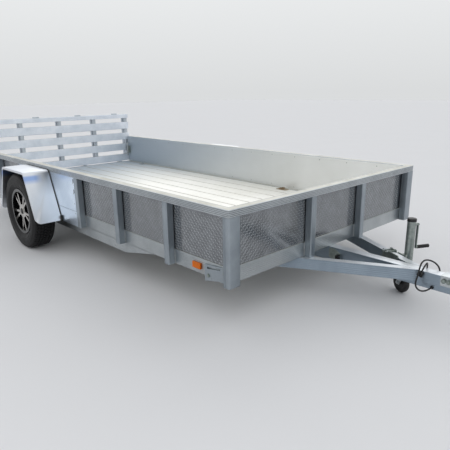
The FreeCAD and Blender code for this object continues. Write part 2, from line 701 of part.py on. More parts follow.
def make_wheels():
    """Brake drum and hub, alloy rim with split spokes, and the tyre."""
    centre = ("axle_x", "0", "tyre_radius")
    bore = "spindle_radius + bearing_gap"
    hub = turned("hub", (
        (bore, "-drum_inner - 4"), ("hub_radius", "-drum_inner - 4"), ("hub_radius", "-drum_outer + 8"),
        ("drum_radius - 8", "-drum_outer + 8"), ("drum_radius - 8", "-drum_inner"),
        ("drum_radius", "-drum_inner"), ("drum_radius", "-drum_outer"),
        ("hub_radius", "-drum_outer"), ("hub_radius", "-spoke_back"), (bore, "-spoke_back")), centre)
    both_sides("hub", hub)
    flange = "(rim_wide / 2 + rim_wall)"
    rim_in = "bead_radius - rim_wall"
    seat = "rim_wide / 2"
    rim = turned("rim", (
        (rim_in, f"-tyre_middle - {flange}"), ("rim_lip", f"-tyre_middle - {flange}"),
        ("rim_lip", f"-tyre_middle - {seat}"), ("bead_radius", f"-tyre_middle - {seat}"),
        ("bead_radius", f"-tyre_middle + {seat}"), ("rim_lip", f"-tyre_middle + {seat}"),
        ("rim_lip", f"-tyre_middle + {flange}"), (rim_in, f"-tyre_middle + {flange}")), centre)
    pieces = [rim]
    disc = rod("rim_centre", "y", "2 * cap_radius", ("axle_x", "-spoke_face", "tyre_radius"), "spoke_thick")
    pieces.append(disc)
    count = int(number("spoke_count"))
    half = "spoke_arm / 2"
    for index in range(count):
        for side in (-1, 1):
            angle = f"({index} * 360 / spoke_count + {side} * spoke_spread - 90)"
            start = f"({index} * 360 / spoke_count - 90)"
            ax = f"axle_x + cap_radius * cos{start}"
            az = f"tyre_radius + cap_radius * sin{start}"
            bx = f"axle_x + (bead_radius - 2) * cos{angle}"
            bz = f"tyre_radius + (bead_radius - 2) * sin{angle}"
            pieces.append(plate("spoke", "XZ", (
                (f"{ax} - {half} * sin{angle}", f"{az} + {half} * cos{angle}"),
                (f"{ax} + {half} * sin{angle}", f"{az} - {half} * cos{angle}"),
                (f"{bx} + {half} * sin{angle}", f"{bz} - {half} * cos{angle}"),
                (f"{bx} - {half} * sin{angle}", f"{bz} + {half} * cos{angle}")),
                "-spoke_back", "spoke_thick"))
    both_sides("rim", fuse("rim", pieces))
    edge = "(rim_wide / 2 - rim_fit)"
    wall = [("bead_radius + rim_fit", edge), ("rim_lip + rim_fit", edge)]
    wall += [(f"rim_lip + {rise} * sidewall", f"(tyre_wide / 2 - {inset})") for rise, inset in TYRE_WALL]
    tyre = turned("tyre", [(radius, f"-tyre_middle - {across}") for radius, across in wall]
                  + [(radius, f"-tyre_middle + {across}") for radius, across in reversed(wall)], centre)
    both_sides("tyre", tyre)


def leg_outline(inset):
    """Plan of a tongue leg on the left, or of its hollow when inset by its wall."""
    skin = f"{inset} * leg_skin"
    outer = f"(leg_spread - {skin})"
    inner = f"(leg_spread - leg_across + {skin})"
    return (
        ("bed_front - leg_back", f"{outer} + leg_back * leg_slope"),
        ("bed_front - leg_back", f"{inner} + leg_back * leg_slope"),
        (f"bed_front + ({inner} - centre_half) / leg_slope", "centre_half"),
        (f"bed_front + ({outer} - centre_half) / leg_slope", "centre_half"))


def make_tongue():
    """Two legs that close in on a centre tube, all under the bed's front rail."""
    outer = plate("leg", "XY", leg_outline(0), "leg_bottom", "leg_tall")
    inner = plate("leg_hollow", "XY", leg_outline(1), "leg_bottom + leg_wall", "leg_tall - 2 * leg_wall")
    left = cut("leg", outer, inner)
    node("tongue_leg_left", left)
    node("tongue_leg_right", mirror("tongue_leg", left))
    centre = tube("centre", ("bed_front - centre_back", "bed_front + centre_ahead"),
                  ("-centre_half", "centre_half"), ("centre_bottom", "low_bottom"), "x", "centre_wall")
    hole = rod("harness_hole", "y", "grommet_neck", ("harness_x", "-centre_half - 1", "harness_z"),
               "centre_wall + 2")
    node("tongue_centre", cut("centre", centre, hole))


def make_harness():
    """The wiring harness: a grommet in the tube's side, the cord looped over the tube, and its plug."""
    flange = rod("grommet", "y", "grommet_radius",
                 ("harness_x", "-centre_half - grommet_thick", "harness_z"), "grommet_thick")
    neck = rod("grommet", "y", "grommet_neck", ("harness_x", "-centre_half", "harness_z"), "centre_wall")
    node("harness_grommet", fuse("harness_grommet", [flange, neck]))
    points = [FreeCAD.Vector(*point) for point in HARNESS_ROUTE]
    grommet_face = FreeCAD.Vector(number("harness_x"), number("-centre_half - grommet_thick"), number("harness_z"))
    if points[0].distanceToPoint(grommet_face) > 0.01:
        raise RuntimeError("the harness's route doesn't start on its grommet")
    radii = []
    for before, corner, after in zip(points, points[1:], points[2:]):
        shorter = min((corner - before).Length, (after - corner).Length)
        turn = (corner - before).getAngle(after - corner)
        radii.append(0.45 * shorter / math.tan(turn / 2))
    print("harness arc radii:", " ".join(f"{radius:.0f}" for radius in radii))
    path = Part.Wire(rounded_path(points, radii))
    section = Part.Wire(Part.Circle(points[0], points[1] - points[0], number("cord_radius")).toShape())
    shape = path.makePipeShell([section], True, False)
    solid = Part.Solid(shape.Shells[0])
    ideal = math.pi * number("cord_radius") ** 2 * path.Length
    print(f"harness length {path.Length:.0f}, volume {solid.Volume:.0f}, section times length {ideal:.0f}")
    cord = doc.addObject("Part::Feature", "harness_tube")
    cord.Shape = solid
    node("harness_cord", cord)
    plug = gather("harness_plug", [
        block("plug", ("-plug_wide / 2", "plug_wide / 2"), ("-plug_thick / 2", "plug_thick / 2"),
              ("-plug_long", "0"))])
    plug.Placement = FreeCAD.Placement(points[-1], FreeCAD.Rotation(FreeCAD.Vector(0, 1, 0), 1))
    plug.setExpression("Placement.Rotation.Angle", refer("plug_turn"))
    plug.setExpression("Placement.Base.y", refer("-centre_half - plug_gap - plug_thick / 2"))
    node("harness_plug", plug)


def make_coupler():
    """A pressed channel over the tube's end, with the ball's socket ahead of it."""
    rear = "bed_front + coupler_back"
    inside = "(centre_half + coupler_fit)"
    outside = f"({inside} + coupler_wall)"
    roof = "low_bottom + coupler_fit"
    shell = block("coupler", (rear, "ball_x"), (f"-{outside}", outside),
                  ("low_bottom - coupler_tall", f"{roof} + coupler_wall"))
    hollow = block("coupler", (f"{rear} - 1", "bed_front + centre_ahead + coupler_fit"),
                   (f"-{inside}", inside), ("low_bottom - coupler_tall - 1", roof))
    nose = rod("coupler", "z", "coupler_nose", ("ball_x", "0", "low_bottom - coupler_tall"),
               f"coupler_tall + coupler_fit + coupler_wall")
    socket = rod("coupler", "z", "ball_radius + ball_gap", ("ball_x", "0", "low_bottom - coupler_tall - 1"),
                 "coupler_tall + 1 - coupler_wall")
    body = cut("coupler", fuse("coupler", [shell, nose]), fuse("coupler", [hollow, socket]))
    node("coupler", body)
    top = f"{roof} + coupler_wall"
    latch = fuse("latch", [
        block("latch", ("ball_x - 75", "ball_x - 5"), ("-14", "14"), (top, f"{top} + 16")),
        block("latch", ("ball_x - 130", "ball_x - 60"), ("-9", "9"), (f"{top} + 10", f"{top} + 22"))])
    node("coupler_latch", latch)


def on_leg(piece):
    """Places a piece that was made about the jack's pivot: x along the leg, y away from it."""
    piece.Placement = FreeCAD.Placement(FreeCAD.Vector(), FreeCAD.Rotation(FreeCAD.Vector(0, 0, 1), -1))
    piece.setExpression("Placement.Rotation.Angle", refer("-leg_angle"))
    piece.setExpression("Placement.Base.x", refer("jack_x"))
    piece.setExpression("Placement.Base.y", refer("jack_y"))
    piece.setExpression("Placement.Base.z", refer("leg_middle"))
    return piece


def make_jack():
    """Swivel jack on the left leg: mount, outer tube, inner leg, crank, caster fork and wheel."""
    mount = fuse("jack_mount", [
        block("mount", ("-55", "55"), ("0", "jack_plate"), ("-leg_tall / 2", "leg_tall / 2")),
        rod("pivot", "y", "pivot_radius", ("0", "jack_plate", "0"), "jack_face + jack_plate + pivot_grip")])
    node("jack_mount", on_leg(mount))
    face = "jack_plate + jack_face"
    back = f"({face} + jack_plate)"
    tube_height = "jack_high - jack_low"
    outer = fuse("jack_tube", [
        block("swivel", ("-42", "42"), (face, back), ("-42", "42")),
        block("saddle", ("-18", "18"), (back, "jack_off"), ("-38", "38")),
        rod("jack_tube", "z", "jack_radius", ("0", "jack_off", "jack_low"), tube_height)])
    bore = rod("jack_bore", "z", "jack_radius - jack_wall", ("0", "jack_off", "jack_low - 1"),
               f"{tube_height} + 1 - jack_wall")
    pivot = rod("pivot_bore", "y", "pivot_radius + bearing_gap", ("0", "jack_plate", "0"),
                "2 * jack_face + jack_plate + pivot_grip")
    node("jack_tube", on_leg(cut("jack_tube", outer, fuse("jack_bores", [bore, pivot]))))
    leg_top = "(jack_high - jack_wall - jack_spare - 6)"
    leg = rod("jack_leg", "z", "inner_radius", ("0", "jack_off", "head_z"), f"{leg_top} - head_z")
    node("jack_leg", on_leg(gather("jack_leg", [leg])))
    shaft_z = "jack_high - crank_drop"
    side = "jack_off + jack_radius"
    grip_z = f"{shaft_z} - crank_reach"
    crank = fuse("jack_crank", [
        rod("crank", "y", "7", ("0", side, shaft_z), "26"),
        block("crank", ("-9", "9"), (f"{side} + 18", f"{side} + 24"), (f"{grip_z} - 9", f"{shaft_z} + 9")),
        rod("crank", "y", "grip_radius", ("0", f"{side} + 24", grip_z), "grip_long")])
    node("jack_crank", on_leg(crank))
    make_caster()


def make_caster():
    """The fork turns under the inner leg; its wheel trails behind the swivel axis."""
    inside = "(caster_wide / 2 + caster_gap)"
    outside = f"({inside} + fork_thick)"
    far = "-caster_trail"
    crown_z = "(head_z - swivel_gap - fork_thick)"
    crown = block("crown", (f"{far} - 4", "24"), (f"jack_off - {outside}", f"jack_off + {outside}"),
                  (crown_z, "head_z - swivel_gap"))
    cheeks = []
    for sign in ("-", "+"):
        low, high = sorted((f"jack_off {sign} {inside}", f"jack_off {sign} {outside}"),
                           key=number)
        cheeks.append(plate("cheek", "XZ", (
            (f"{far} - 14", "caster_z - 14"), (f"{far} + 14", "caster_z - 14"),
            ("24", crown_z), (f"{far} - 4", crown_z)), high, f"({high}) - ({low})"))
    axle = rod("caster_axle", "y", "caster_pin", (far, f"jack_off - {outside}", "caster_z"), f"2 * {outside}")
    node("caster_fork", on_leg(fuse("caster_fork", [crown, axle] + cheeks)))
    wheel = cut("caster_wheel",
                rod("caster_wheel", "y", "caster_radius", (far, "jack_off - caster_wide / 2", "caster_z"),
                    "caster_wide"),
                rod("caster_bore", "y", "caster_pin + bearing_gap", (far, "jack_off - caster_wide", "caster_z"),
                    "2 * caster_wide"))
    node("caster_wheel", on_leg(wheel))


def make_gate():
    """A slatted gate in two halves, hinged at the rear sill and folded over at its top."""
    face = ("gate_face - slat_thick", "gate_face")
    frame_x = ("gate_back", "gate_face - slat_thick")
    width = ("-gate_half", "gate_half")
    slats = []
    for index in range(int(number("slat_count"))):
        low = f"gate_low + {index} * slat_pitch"
        slats.append(tube("slat", face, width, (low, f"{low} + slat_tall"), "y", "slat_wall"))
    slats.append(tube("slat", face, width, ("gate_high - gate_bar_tall", "gate_high"), "y", "slat_wall"))
    node("gate_lower_slats", gather("slats", slats))
    upper_x = ("upper_face - upright_size", "upper_face")
    upper_slat = ("upper_back", "upper_face - upright_size")
    slats = [tube("slat", upper_slat, width, ("gate_high - gate_bar_tall", "gate_high"), "y", "slat_wall"),
             tube("slat", upper_slat, width, ("upper_low", "upper_low + gate_bar_tall"), "y", "slat_wall")]
    for index in range(1, int(number("slat_count"))):
        low = f"gate_low + {index} * slat_pitch - slat_sink"
        slats.append(tube("slat", upper_slat, width, (low, f"{low} + slat_tall"), "y", "slat_wall"))
    node("gate_upper_slats", gather("slats", slats))
    lower = ladder("lower", frame_x, "gate_low", "gate_high")
    upper = ladder("upper", upper_x, "upper_low", "gate_high")
    sill_knuckles = []
    for sign in ("-", "+"):
        for out in ("hinge_out", "hinge_in"):
            middle = f"{sign}{out}"
            first = (f"{middle} - knuckle_long - knuckle_gap / 2", f"{middle} - knuckle_gap / 2")
            second = (f"{middle} + knuckle_gap / 2", f"{middle} + knuckle_gap / 2 + knuckle_long")
            sill_knuckles.append(fuse("sill_knuckle", [
                rod("knuckle", "y", "hinge_radius", ("gate_hinge_x", first[0], "gate_hinge_z"), "knuckle_long"),
                block("leaf", ("gate_hinge_x", "bed_rear"), first,
                      ("gate_hinge_z - 6", "gate_hinge_z + 4")),
                rod("pin", "y", "pin_radius", ("gate_hinge_x", first[1], "gate_hinge_z"),
                    "knuckle_gap + knuckle_long")]))
            lower.append(cut("gate_knuckle", fuse("gate_knuckle", [
                rod("knuckle", "y", "hinge_radius", ("gate_hinge_x", second[0], "gate_hinge_z"), "knuckle_long"),
                block("leaf", ("gate_hinge_x - 2 * hinge_radius", "gate_hinge_x - 2"), second,
                      ("gate_hinge_z", "gate_low"))]),
                rod("pin_bore", "y", "pin_radius + pin_gap",
                    ("gate_hinge_x", f"{second[0]} - 1", "gate_hinge_z"), "knuckle_long + 2")))
            lower.append(fuse("fold_knuckle", [
                rod("knuckle", "y", "fold_radius", ("fold_x", first[0], "fold_z"), "knuckle_long"),
                block("leaf", ("fold_x", "gate_face - slat_thick"), first, ("gate_high", "gate_high + 4")),
                rod("pin", "y", "fold_pin", ("fold_x", first[1], "fold_z"), "knuckle_gap + knuckle_long")]))
            upper.append(cut("fold_knuckle", fuse("fold_knuckle", [
                rod("knuckle", "y", "fold_radius", ("fold_x", second[0], "fold_z"), "knuckle_long"),
                block("leaf", (upper_x[0], "fold_x"), second, ("gate_high", "gate_high + 4"))]),
                rod("pin_bore", "y", "fold_pin + pin_gap",
                    ("fold_x", f"{second[0]} - 1", "fold_z"), "knuckle_long + 2")))
    node("gate_hinge_knuckles", gather("sill_knuckles", sill_knuckles))
    node("gate_lower_frame", fuse("gate_lower_frame", lower))
    node("gate_upper_frame", fuse("gate_upper_frame", upper))
    latch = block("latch", ("bed_rear", "bed_rear + 46"),
                  ("-panel_face + panel_thick", "-panel_face + panel_thick + 16"),
                  ("low_top + 120", "low_top + 220"))
    both_sides("gate_latch", latch)


def ladder(name, x, low, high):
    """Uprights, evenly spaced, with a tube along the bottom and the top."""
    pieces = []
    half = "upright_size / 2"
    for index in range(int(number("upright_count"))):
        middle = f"upright_out * (2 * {index} / (upright_count - 1) - 1)"
        pieces.append(block(name, x, (f"{middle} - {half}", f"{middle} + {half}"), (low, high)))
    width = (f"-upright_out - {half}", f"upright_out + {half}")
    pieces.append(block(name, x, width, (low, f"{low} + upright_size")))
    pieces.append(block(name, x, width, (f"{high} - upright_size", high)))
    return pieces


def make_rings():
    """Tie-down rings laid flat on the floor beside the sides, each under a clip."""
    rings = []
    for sign in ("-", "+"):
        for x in ("(bed_front - ring_front)", "(bed_rear + ring_rear)"):
            y = f"{sign}(rail_inner - ring_radius - 2 * ring_bar)"
            ring = cut("ring",
                       rod("ring", "z", "ring_radius + ring_bar", (x, y, "deck_top"), "2 * ring_bar"),
                       rod("ring", "z", "ring_radius - ring_bar", (x, y, "deck_top - 1"), "2 * ring_bar + 2"))
            clip = block("clip", (f"{x} - 14", f"{x} + 14"),
                         sorted((f"{sign}(rail_inner - 2 * ring_bar - 8)", f"{sign}rail_inner"), key=number),
                         ("deck_top", "deck_top + 2 * ring_bar + 3"))
            rings.append(fuse("tie_down", [ring, clip]))
    node("tie_downs", gather("tie_downs", rings))


def make_lamps():
    """Amber markers near the front, red ones near the rear, and two tail lamps in the sill."""
    middle_z = "low_top - low_rail_tall / 2"
    for name, at in (("marker_amber", "bed_front - marker_back"),
                     ("marker_red", "bed_rear + marker_back")):
        pair = []
        for sign in ("-", "+"):
            across = sorted((f"{sign}wall_face", f"{sign}(wall_face + marker_thick)"), key=number)
            pair.append(block(name, (f"{at} - marker_long / 2", f"{at} + marker_long / 2"), across,
                              (f"{middle_z} - marker_tall / 2", f"{middle_z} + marker_tall / 2")))
        node(name, gather(name, pair))
    lamps = []
    for sign in ("-", "+"):
        middle_y = f"{sign}(half_width - tail_lamp_in)"
        across = (f"{middle_y} - tail_lamp_long / 2", f"{middle_y} + tail_lamp_long / 2")
        lamps.append(block("tail_lamp", ("bed_rear - tail_lamp_thick", "bed_rear"), across,
                           (f"{middle_z} - tail_lamp_tall / 2", f"{middle_z} + tail_lamp_tall / 2")))
    node("tail_lamps", gather("tail_lamps", lamps))


for build in (make_top_rails, make_low_rails, make_deck, make_sub_rails, make_posts, make_panels,
              make_fenders, make_axle, make_wheels, make_tongue, make_harness, make_coupler, make_jack,
              make_gate, make_rings, make_lamps):
    build()

doc.recompute()
for item in doc.Objects:
    if "Invalid" in item.State or "Error" in item.State:
        raise RuntimeError(f"{item.Name} did not build: {item.State}")
for name, piece in NODES.items():
    if piece.Shape.isNull() or not piece.Shape.isValid():
        raise RuntimeError(f"{name} has no valid shape")

os.makedirs("parts", exist_ok=True)
for name, piece in NODES.items():
    piece.Shape.exportStep(f"parts/{name}.step")
    box = piece.Shape.BoundBox
    print(f"{name:20s} solids {len(piece.Shape.Solids):2d}  volume {piece.Shape.Volume / 1e6:9.3f}  "
          f"x {box.XMin:8.1f} {box.XMax:8.1f}  y {box.YMin:8.1f} {box.YMax:8.1f}  z {box.ZMin:7.1f} {box.ZMax:7.1f}")
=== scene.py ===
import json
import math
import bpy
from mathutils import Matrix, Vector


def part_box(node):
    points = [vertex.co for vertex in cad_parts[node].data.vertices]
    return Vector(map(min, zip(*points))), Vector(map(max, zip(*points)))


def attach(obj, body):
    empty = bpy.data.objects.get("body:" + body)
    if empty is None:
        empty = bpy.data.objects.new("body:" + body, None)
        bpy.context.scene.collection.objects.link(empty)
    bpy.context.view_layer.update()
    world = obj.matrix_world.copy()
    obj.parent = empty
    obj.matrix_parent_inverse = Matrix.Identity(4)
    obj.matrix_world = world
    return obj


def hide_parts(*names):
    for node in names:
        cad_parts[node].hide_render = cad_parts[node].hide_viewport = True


bl_info = {
    "name": "Utility trailer looks",
    "version": (1, 0, 0),
    "blender": (4, 5, 0),
    "location": "3D View > Sidebar > Trailer",
    "description": "Builds the looks of an open aluminium utility trailer around its fixed frame",
    "category": "Object",
}

import bmesh
import bpy
from mathutils import Matrix, Vector
from mathutils.geometry import convex_hull_2d

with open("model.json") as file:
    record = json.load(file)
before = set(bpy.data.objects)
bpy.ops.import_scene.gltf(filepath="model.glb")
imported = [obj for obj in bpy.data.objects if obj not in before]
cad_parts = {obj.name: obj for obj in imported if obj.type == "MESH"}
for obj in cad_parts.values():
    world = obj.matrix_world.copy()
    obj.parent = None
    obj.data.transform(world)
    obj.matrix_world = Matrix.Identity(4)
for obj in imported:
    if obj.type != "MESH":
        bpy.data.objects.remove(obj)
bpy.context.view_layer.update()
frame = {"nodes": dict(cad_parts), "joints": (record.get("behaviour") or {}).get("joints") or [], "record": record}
NODES = frame["nodes"]
BODY_OF = {node: body for body, nodes in frame["record"]["behaviour"]["bodies"].items() for node in nodes}
SLOT_OF = {row["node"]: row["material_slot"] for row in frame["record"]["subparts"]}
JOINTS = {joint["name"]: joint for joint in frame["joints"]}

X = Vector((1, 0, 0))
Y = Vector((0, 1, 0))
Z = Vector((0, 0, 1))
# Each side's name, its sign along Y, and the way that faces out there
SIDES = (("right", -1), ("left", 1))
OUTWARD = {-1: "-y", 1: "+y"}

# Camera, from the photograph's perspective: place, heading, tilt and roll in degrees, focal length in mm
CAMERA_AT = (3.4535, -2.7585, 1.3743)
CAMERA_HEADING = 136.853
CAMERA_TILT = -15.918
CAMERA_ROLL = -0.72
CAMERA_LENS = 37.31
CAMERA_SENSOR = 36.0

# The harness's route in metres, written in mm, the same points as in the part's source
HARNESS_ROUTE = [tuple(v / 1000 for v in point) for point in (
    (2394, -44, 210), (2394, -68, 210), (2382, -86, 200), (2355, -94, 189), (2325, -93, 197), (2311, -89, 223),
    (2314, -83, 256), (2319, -77, 290), (2318, -64, 325), (2315, -38, 350), (2320, -3, 361), (2340, 29, 355),
    (2367, 50, 337), (2387, 60, 310), (2394, 64, 276), (2395, 66, 242), (2392, 67, 210), (2373, 68, 186),
    (2342, 69, 182), (2318, 68, 203), (2311, 63, 233), (2312, 58, 264), (2316, 51, 294), (2323, 34, 319),
    (2330.6, 12.1, 338.6), (2337, -14.6, 344), (2337.5, -36, 335.3), (2333.2, -48.5, 317.7), (2326, -48.5, 298))]
HARNESS_DIAMETER = 0.010
PLUG_LEAN = 20.0

# Lamps: name, kind, place, angle or size, and energy. A wide soft key from behind on the left, and a weak fill
# from the front on the right
LAMPS = (("Key", "SUN", (-6.5, 7.0, 4.9), math.radians(58), 0.54), ("Fill", "AREA", (5.0, -5.0, 5.5), 4.0, 50))
LAMPS_AIM = (0, 0, 0.4)
# Strength of the world's light, and of what shows of it at the horizon, where it meets the floor's colour; what
# shows is white from the given height of a direction upwards
WORLD_LIT = 0.86
WORLD_HORIZON = 0.775
WORLD_WHITE_FROM = 0.32
FLOOR_REACH = 60.0

# Degrees between two faces above which their edge stays sharp, on drawn bars and on round pieces
DRAWN_SHARP = 24
ROUND_SHARP = 40

# Counts, and sizes in metres, of what the looks add
CORNER_ROUND = 0.012
POST_LINE_IN = 0.010
SHORTEST_RIB = 0.05
BAR_TALL = 0.0014
SIDE_MARGIN = 0.02
FRONT_MARGIN = 0.06
RIVET_PITCH = 0.3048
WELD_RIPPLE = 0.0046
PLANKS = 11
PLANK_GAP = 0.002
PLANK_RIBS = 3
PLANK_EDGE = 0.0075
SCREW_IN = 0.045
SCREW_ASIDE = 0.036
SLAT_RIB_PITCH = 0.0155
WHEEL_NUTS = 5
NUT_CIRCLE = 0.0572
LEG_THICK = 0.051
CRANK_REACH = 0.0285 + 0.024
GRIP_RINGS = 11
GRIP_PITCH = 0.0076
CASTER_HALF = 0.021


class TrailerSizes(bpy.types.PropertyGroup):
    """Sizes of what the looks add to the frame."""

    rib_deep: bpy.props.FloatProperty(
        name="Rib depth", description="Depth of the grooves drawn into rails, slats and tongue", default=0.0020,
        unit="LENGTH", precision=4)
    rib_pitch: bpy.props.FloatProperty(
        name="Rib pitch", description="Spacing of those grooves", default=0.0125, unit="LENGTH", precision=4)
    bar_long: bpy.props.FloatProperty(
        name="Tread bar", description="Length of one raised bar of the tread plate", default=0.0210,
        unit="LENGTH", precision=4)
    bar_pitch: bpy.props.FloatProperty(
        name="Bar pitch", description="Spacing of the tread plate's bars", default=0.0168, unit="LENGTH",
        precision=4)
    rivet_radius: bpy.props.FloatProperty(
        name="Rivet", description="Radius of a rivet's head", default=0.0045, unit="LENGTH", precision=4)
    block_count: bpy.props.IntProperty(
        name="Tread blocks", description="Blocks round a tyre in each row", default=66, min=20, max=90)


class TrailerColours(bpy.types.PropertyGroup):
    """Colours of the trailer's finishes."""

    # Colour of the painted sky reflection under the fender's bend
    fender: bpy.props.FloatVectorProperty(
        name="Fender bend", description="Painted blue sky reflection on the fender sheet under its bend", subtype="COLOR",
        size=4, default=(0.32, 0.44, 0.72, 1.0), min=0, max=1)
    lens: bpy.props.FloatVectorProperty(
        name="Marker lens", description="Amber lens of the front side markers", subtype="COLOR", size=4,
        default=(0.76, 0.18, 0.003, 1.0), min=0, max=1)
    floor: bpy.props.FloatVectorProperty(
        name="Floor", description="Colour of the studio floor", subtype="COLOR", size=4,
        default=(0.79, 0.79, 0.79, 1.0), min=0, max=1)


def linear(text):
    """A colour written as sRGB hex, in the linear values that the nodes take."""
    parts = [int(text[i:i + 2], 16) / 255 for i in (1, 3, 5)]
    return tuple(p / 12.92 if p <= 0.04045 else ((p + 0.055) / 1.055) ** 2.4 for p in parts) + (1.0,)


def add_node(tree, kind, inputs=None, **settings):
    """Adds one node with its own settings; an input given a socket is linked to it, and else set."""
    made = tree.nodes.new(kind)
    for name, value in settings.items():
        setattr(made, name, value)
    for name, value in (inputs or {}).items():
        if isinstance(value, bpy.types.NodeSocket):
            tree.links.new(value, made.inputs[name])
        else:
            made.inputs[name].default_value = value
    return made


def new_finish(name):
    """An empty material, its tree, and its pattern coordinates in metres on the object."""
    made = bpy.data.materials.new(name)
    made.use_nodes = True
    tree = made.node_tree
    tree.nodes.clear()
    place = add_node(tree, "ShaderNodeTexCoord").outputs["Object"]
    return made, tree, place


def end_finish(made, tree, inputs):
    """Gives a material its shader and its output."""
    shader = add_node(tree, "ShaderNodeBsdfPrincipled", inputs)
    add_node(tree, "ShaderNodeOutputMaterial", {"Surface": shader.outputs[0]})
    return made


def noise(tree, place, scale, detail, rough=0.5):
    """Noise with so many waves in a metre."""
    return add_node(tree, "ShaderNodeTexNoise",
                    {"Vector": place, "Scale": scale, "Detail": detail, "Roughness": rough}).outputs["Fac"]


def stretched(tree, place, along, per_metre, detail=3.0):
    """Noise drawn out along one axis, as a die or a brush leaves it, or even if along is None."""
    scale = [0.012 if axis == along else 1.0 for axis in "xyz"]
    turned = add_node(tree, "ShaderNodeMapping", {"Vector": place, "Scale": scale}).outputs[0]
    return noise(tree, turned, per_metre, detail)


def blend_of(tree, factor, low, high):
    """A colour between two others."""
    return add_node(tree, "ShaderNodeMix", {"Factor": factor, "A": low, "B": high},
                    data_type="RGBA").outputs["Result"]


def ranged(tree, value, low, high, start=0.3, end=0.7):
    """Low to high while the value goes from start to end."""
    return add_node(tree, "ShaderNodeMapRange",
                    {"Value": value, "From Min": start, "From Max": end, "To Min": low, "To Max": high}).outputs[0]


def worked(tree, operation, *values, **settings):
    """One step of arithmetic on sockets."""
    return add_node(tree, "ShaderNodeMath", dict(enumerate(values)), operation=operation, **settings).outputs[0]


def bumped(tree, height, strength, distance=0.0004):
    """Relief, as deep as the distance in metres."""
    return add_node(tree, "ShaderNodeBump",
                    {"Height": height, "Strength": strength, "Distance": distance}).outputs[0]


def metal(name, colour, dull, rough, along=None, line_mm=1.6, stain_mm=160, bump=0.10, rear=None,
          rear_shade_span=(-2.5, 0.6)):
    """Bare or plated metal: lines of its making, and a slow drift between its colour and a duller one.

    A colour given as rear takes over towards the trailer's rear, between the two lengths given last: painted shade
    and reflection of the gate at the rear.
    """
    made, tree, place = new_finish(name)
    lines = stretched(tree, place, along, 1000 / line_mm)
    stains = noise(tree, place, 1000 / stain_mm, 4.0, 0.6)
    tint = blend_of(tree, ranged(tree, stains, 0, 1, 0.35, 0.68), linear(colour), linear(dull))
    if rear:
        length = add_node(tree, "ShaderNodeSeparateXYZ", {"Vector": place}).outputs["X"]
        # Painted shade and reflection of the gate: the rear colour takes over towards the rear
        tint = blend_of(tree, ranged(tree, length, 1, 0, *rear_shade_span), tint, linear(rear))
    both = worked(tree, "ADD", lines, stains)
    return end_finish(made, tree, {
        "Base Color": tint, "Metallic": 1.0, "Roughness": ranged(tree, both, rough - 0.07, rough + 0.09, 0.7, 1.3),
        "Normal": bumped(tree, lines, bump)})


def bent_sheet_with_painted_reflections(name, colour, dull, cast):
    """Bright sheet bent into a fender, with a painted blue sky reflection just under its bends and a painted dark
    reflection of the post and rail beside the bed.
    """
    made, tree, place = new_finish(name)
    stains = noise(tree, place, 4.0, 3.0)
    tint = blend_of(tree, ranged(tree, stains, 0, 1, 0.35, 0.68), linear(colour), linear(dull))
    parted = add_node(tree, "ShaderNodeSeparateXYZ", {"Vector": place})
    height = parted.outputs["Z"]
    across = worked(tree, "ABSOLUTE", parted.outputs["Y"])
    # The painted blue sky reflection under the bend and the painted dark reflection beside the bed: colour,
    # heights in metres where each comes and goes, and its share across the trailer
    for shade, comes, goes, share in (
            (cast, (0.628, 0.668), (0.690, 0.706), (0, 1, 1.15, 1.21)),
            (linear("#5f6670"), (0.52, 0.69), (0.712, 0.726), (0.75, 0, 1.120, 1.235))):
        upright = worked(tree, "MULTIPLY", ranged(tree, height, 0, 1, *comes), ranged(tree, height, 1, 0, *goes))
        tint = blend_of(tree, worked(tree, "MULTIPLY", upright, ranged(tree, across, *share)), tint, shade)
    grain = stretched(tree, place, None, 330, 2.0)
    return end_finish(made, tree, {"Base Color": tint, "Metallic": 1.0, "Roughness": 0.36,
                                   "Normal": bumped(tree, grain, 0.03)})


def moulded(name, colour, worn, rough, grain_mm=1.2, coat=0.0, bump=0.25, ior=1.46):
    """Moulded plastic or rubber: fine grain from its mould, paler where it is dusty or worn."""
    made, tree, place = new_finish(name)
    grain = stretched(tree, place, None, 1000 / grain_mm, 2.0)
    dust = noise(tree, place, 14.0, 5.0)
    return end_finish(made, tree, {
        "Base Color": blend_of(tree, ranged(tree, dust, 0, 1, 0.42, 0.75), linear(colour), linear(worn)),
        "Roughness": ranged(tree, dust, rough - 0.06, rough + 0.08), "Normal": bumped(tree, grain, bump, 0.0003),
        "IOR": ior, "Coat Weight": coat, "Coat Roughness": 0.12})


def lens_finish(name, colour, deep):
    """Acrylic lens of a lamp: glossy, with its moulded optics showing as faint upright bars."""
    made, tree, place = new_finish(name)
    bars = add_node(tree, "ShaderNodeTexWave", {"Vector": place, "Scale": 55.0, "Distortion": 0.0},
                    bands_direction="X").outputs["Fac"]
    return end_finish(made, tree, {
        "Base Color": blend_of(tree, bars, linear(deep), colour), "Roughness": 0.22, "IOR": 1.49,
        "Normal": bumped(tree, bars, 0.35, 0.0008), "Specular IOR Level": 0.2})


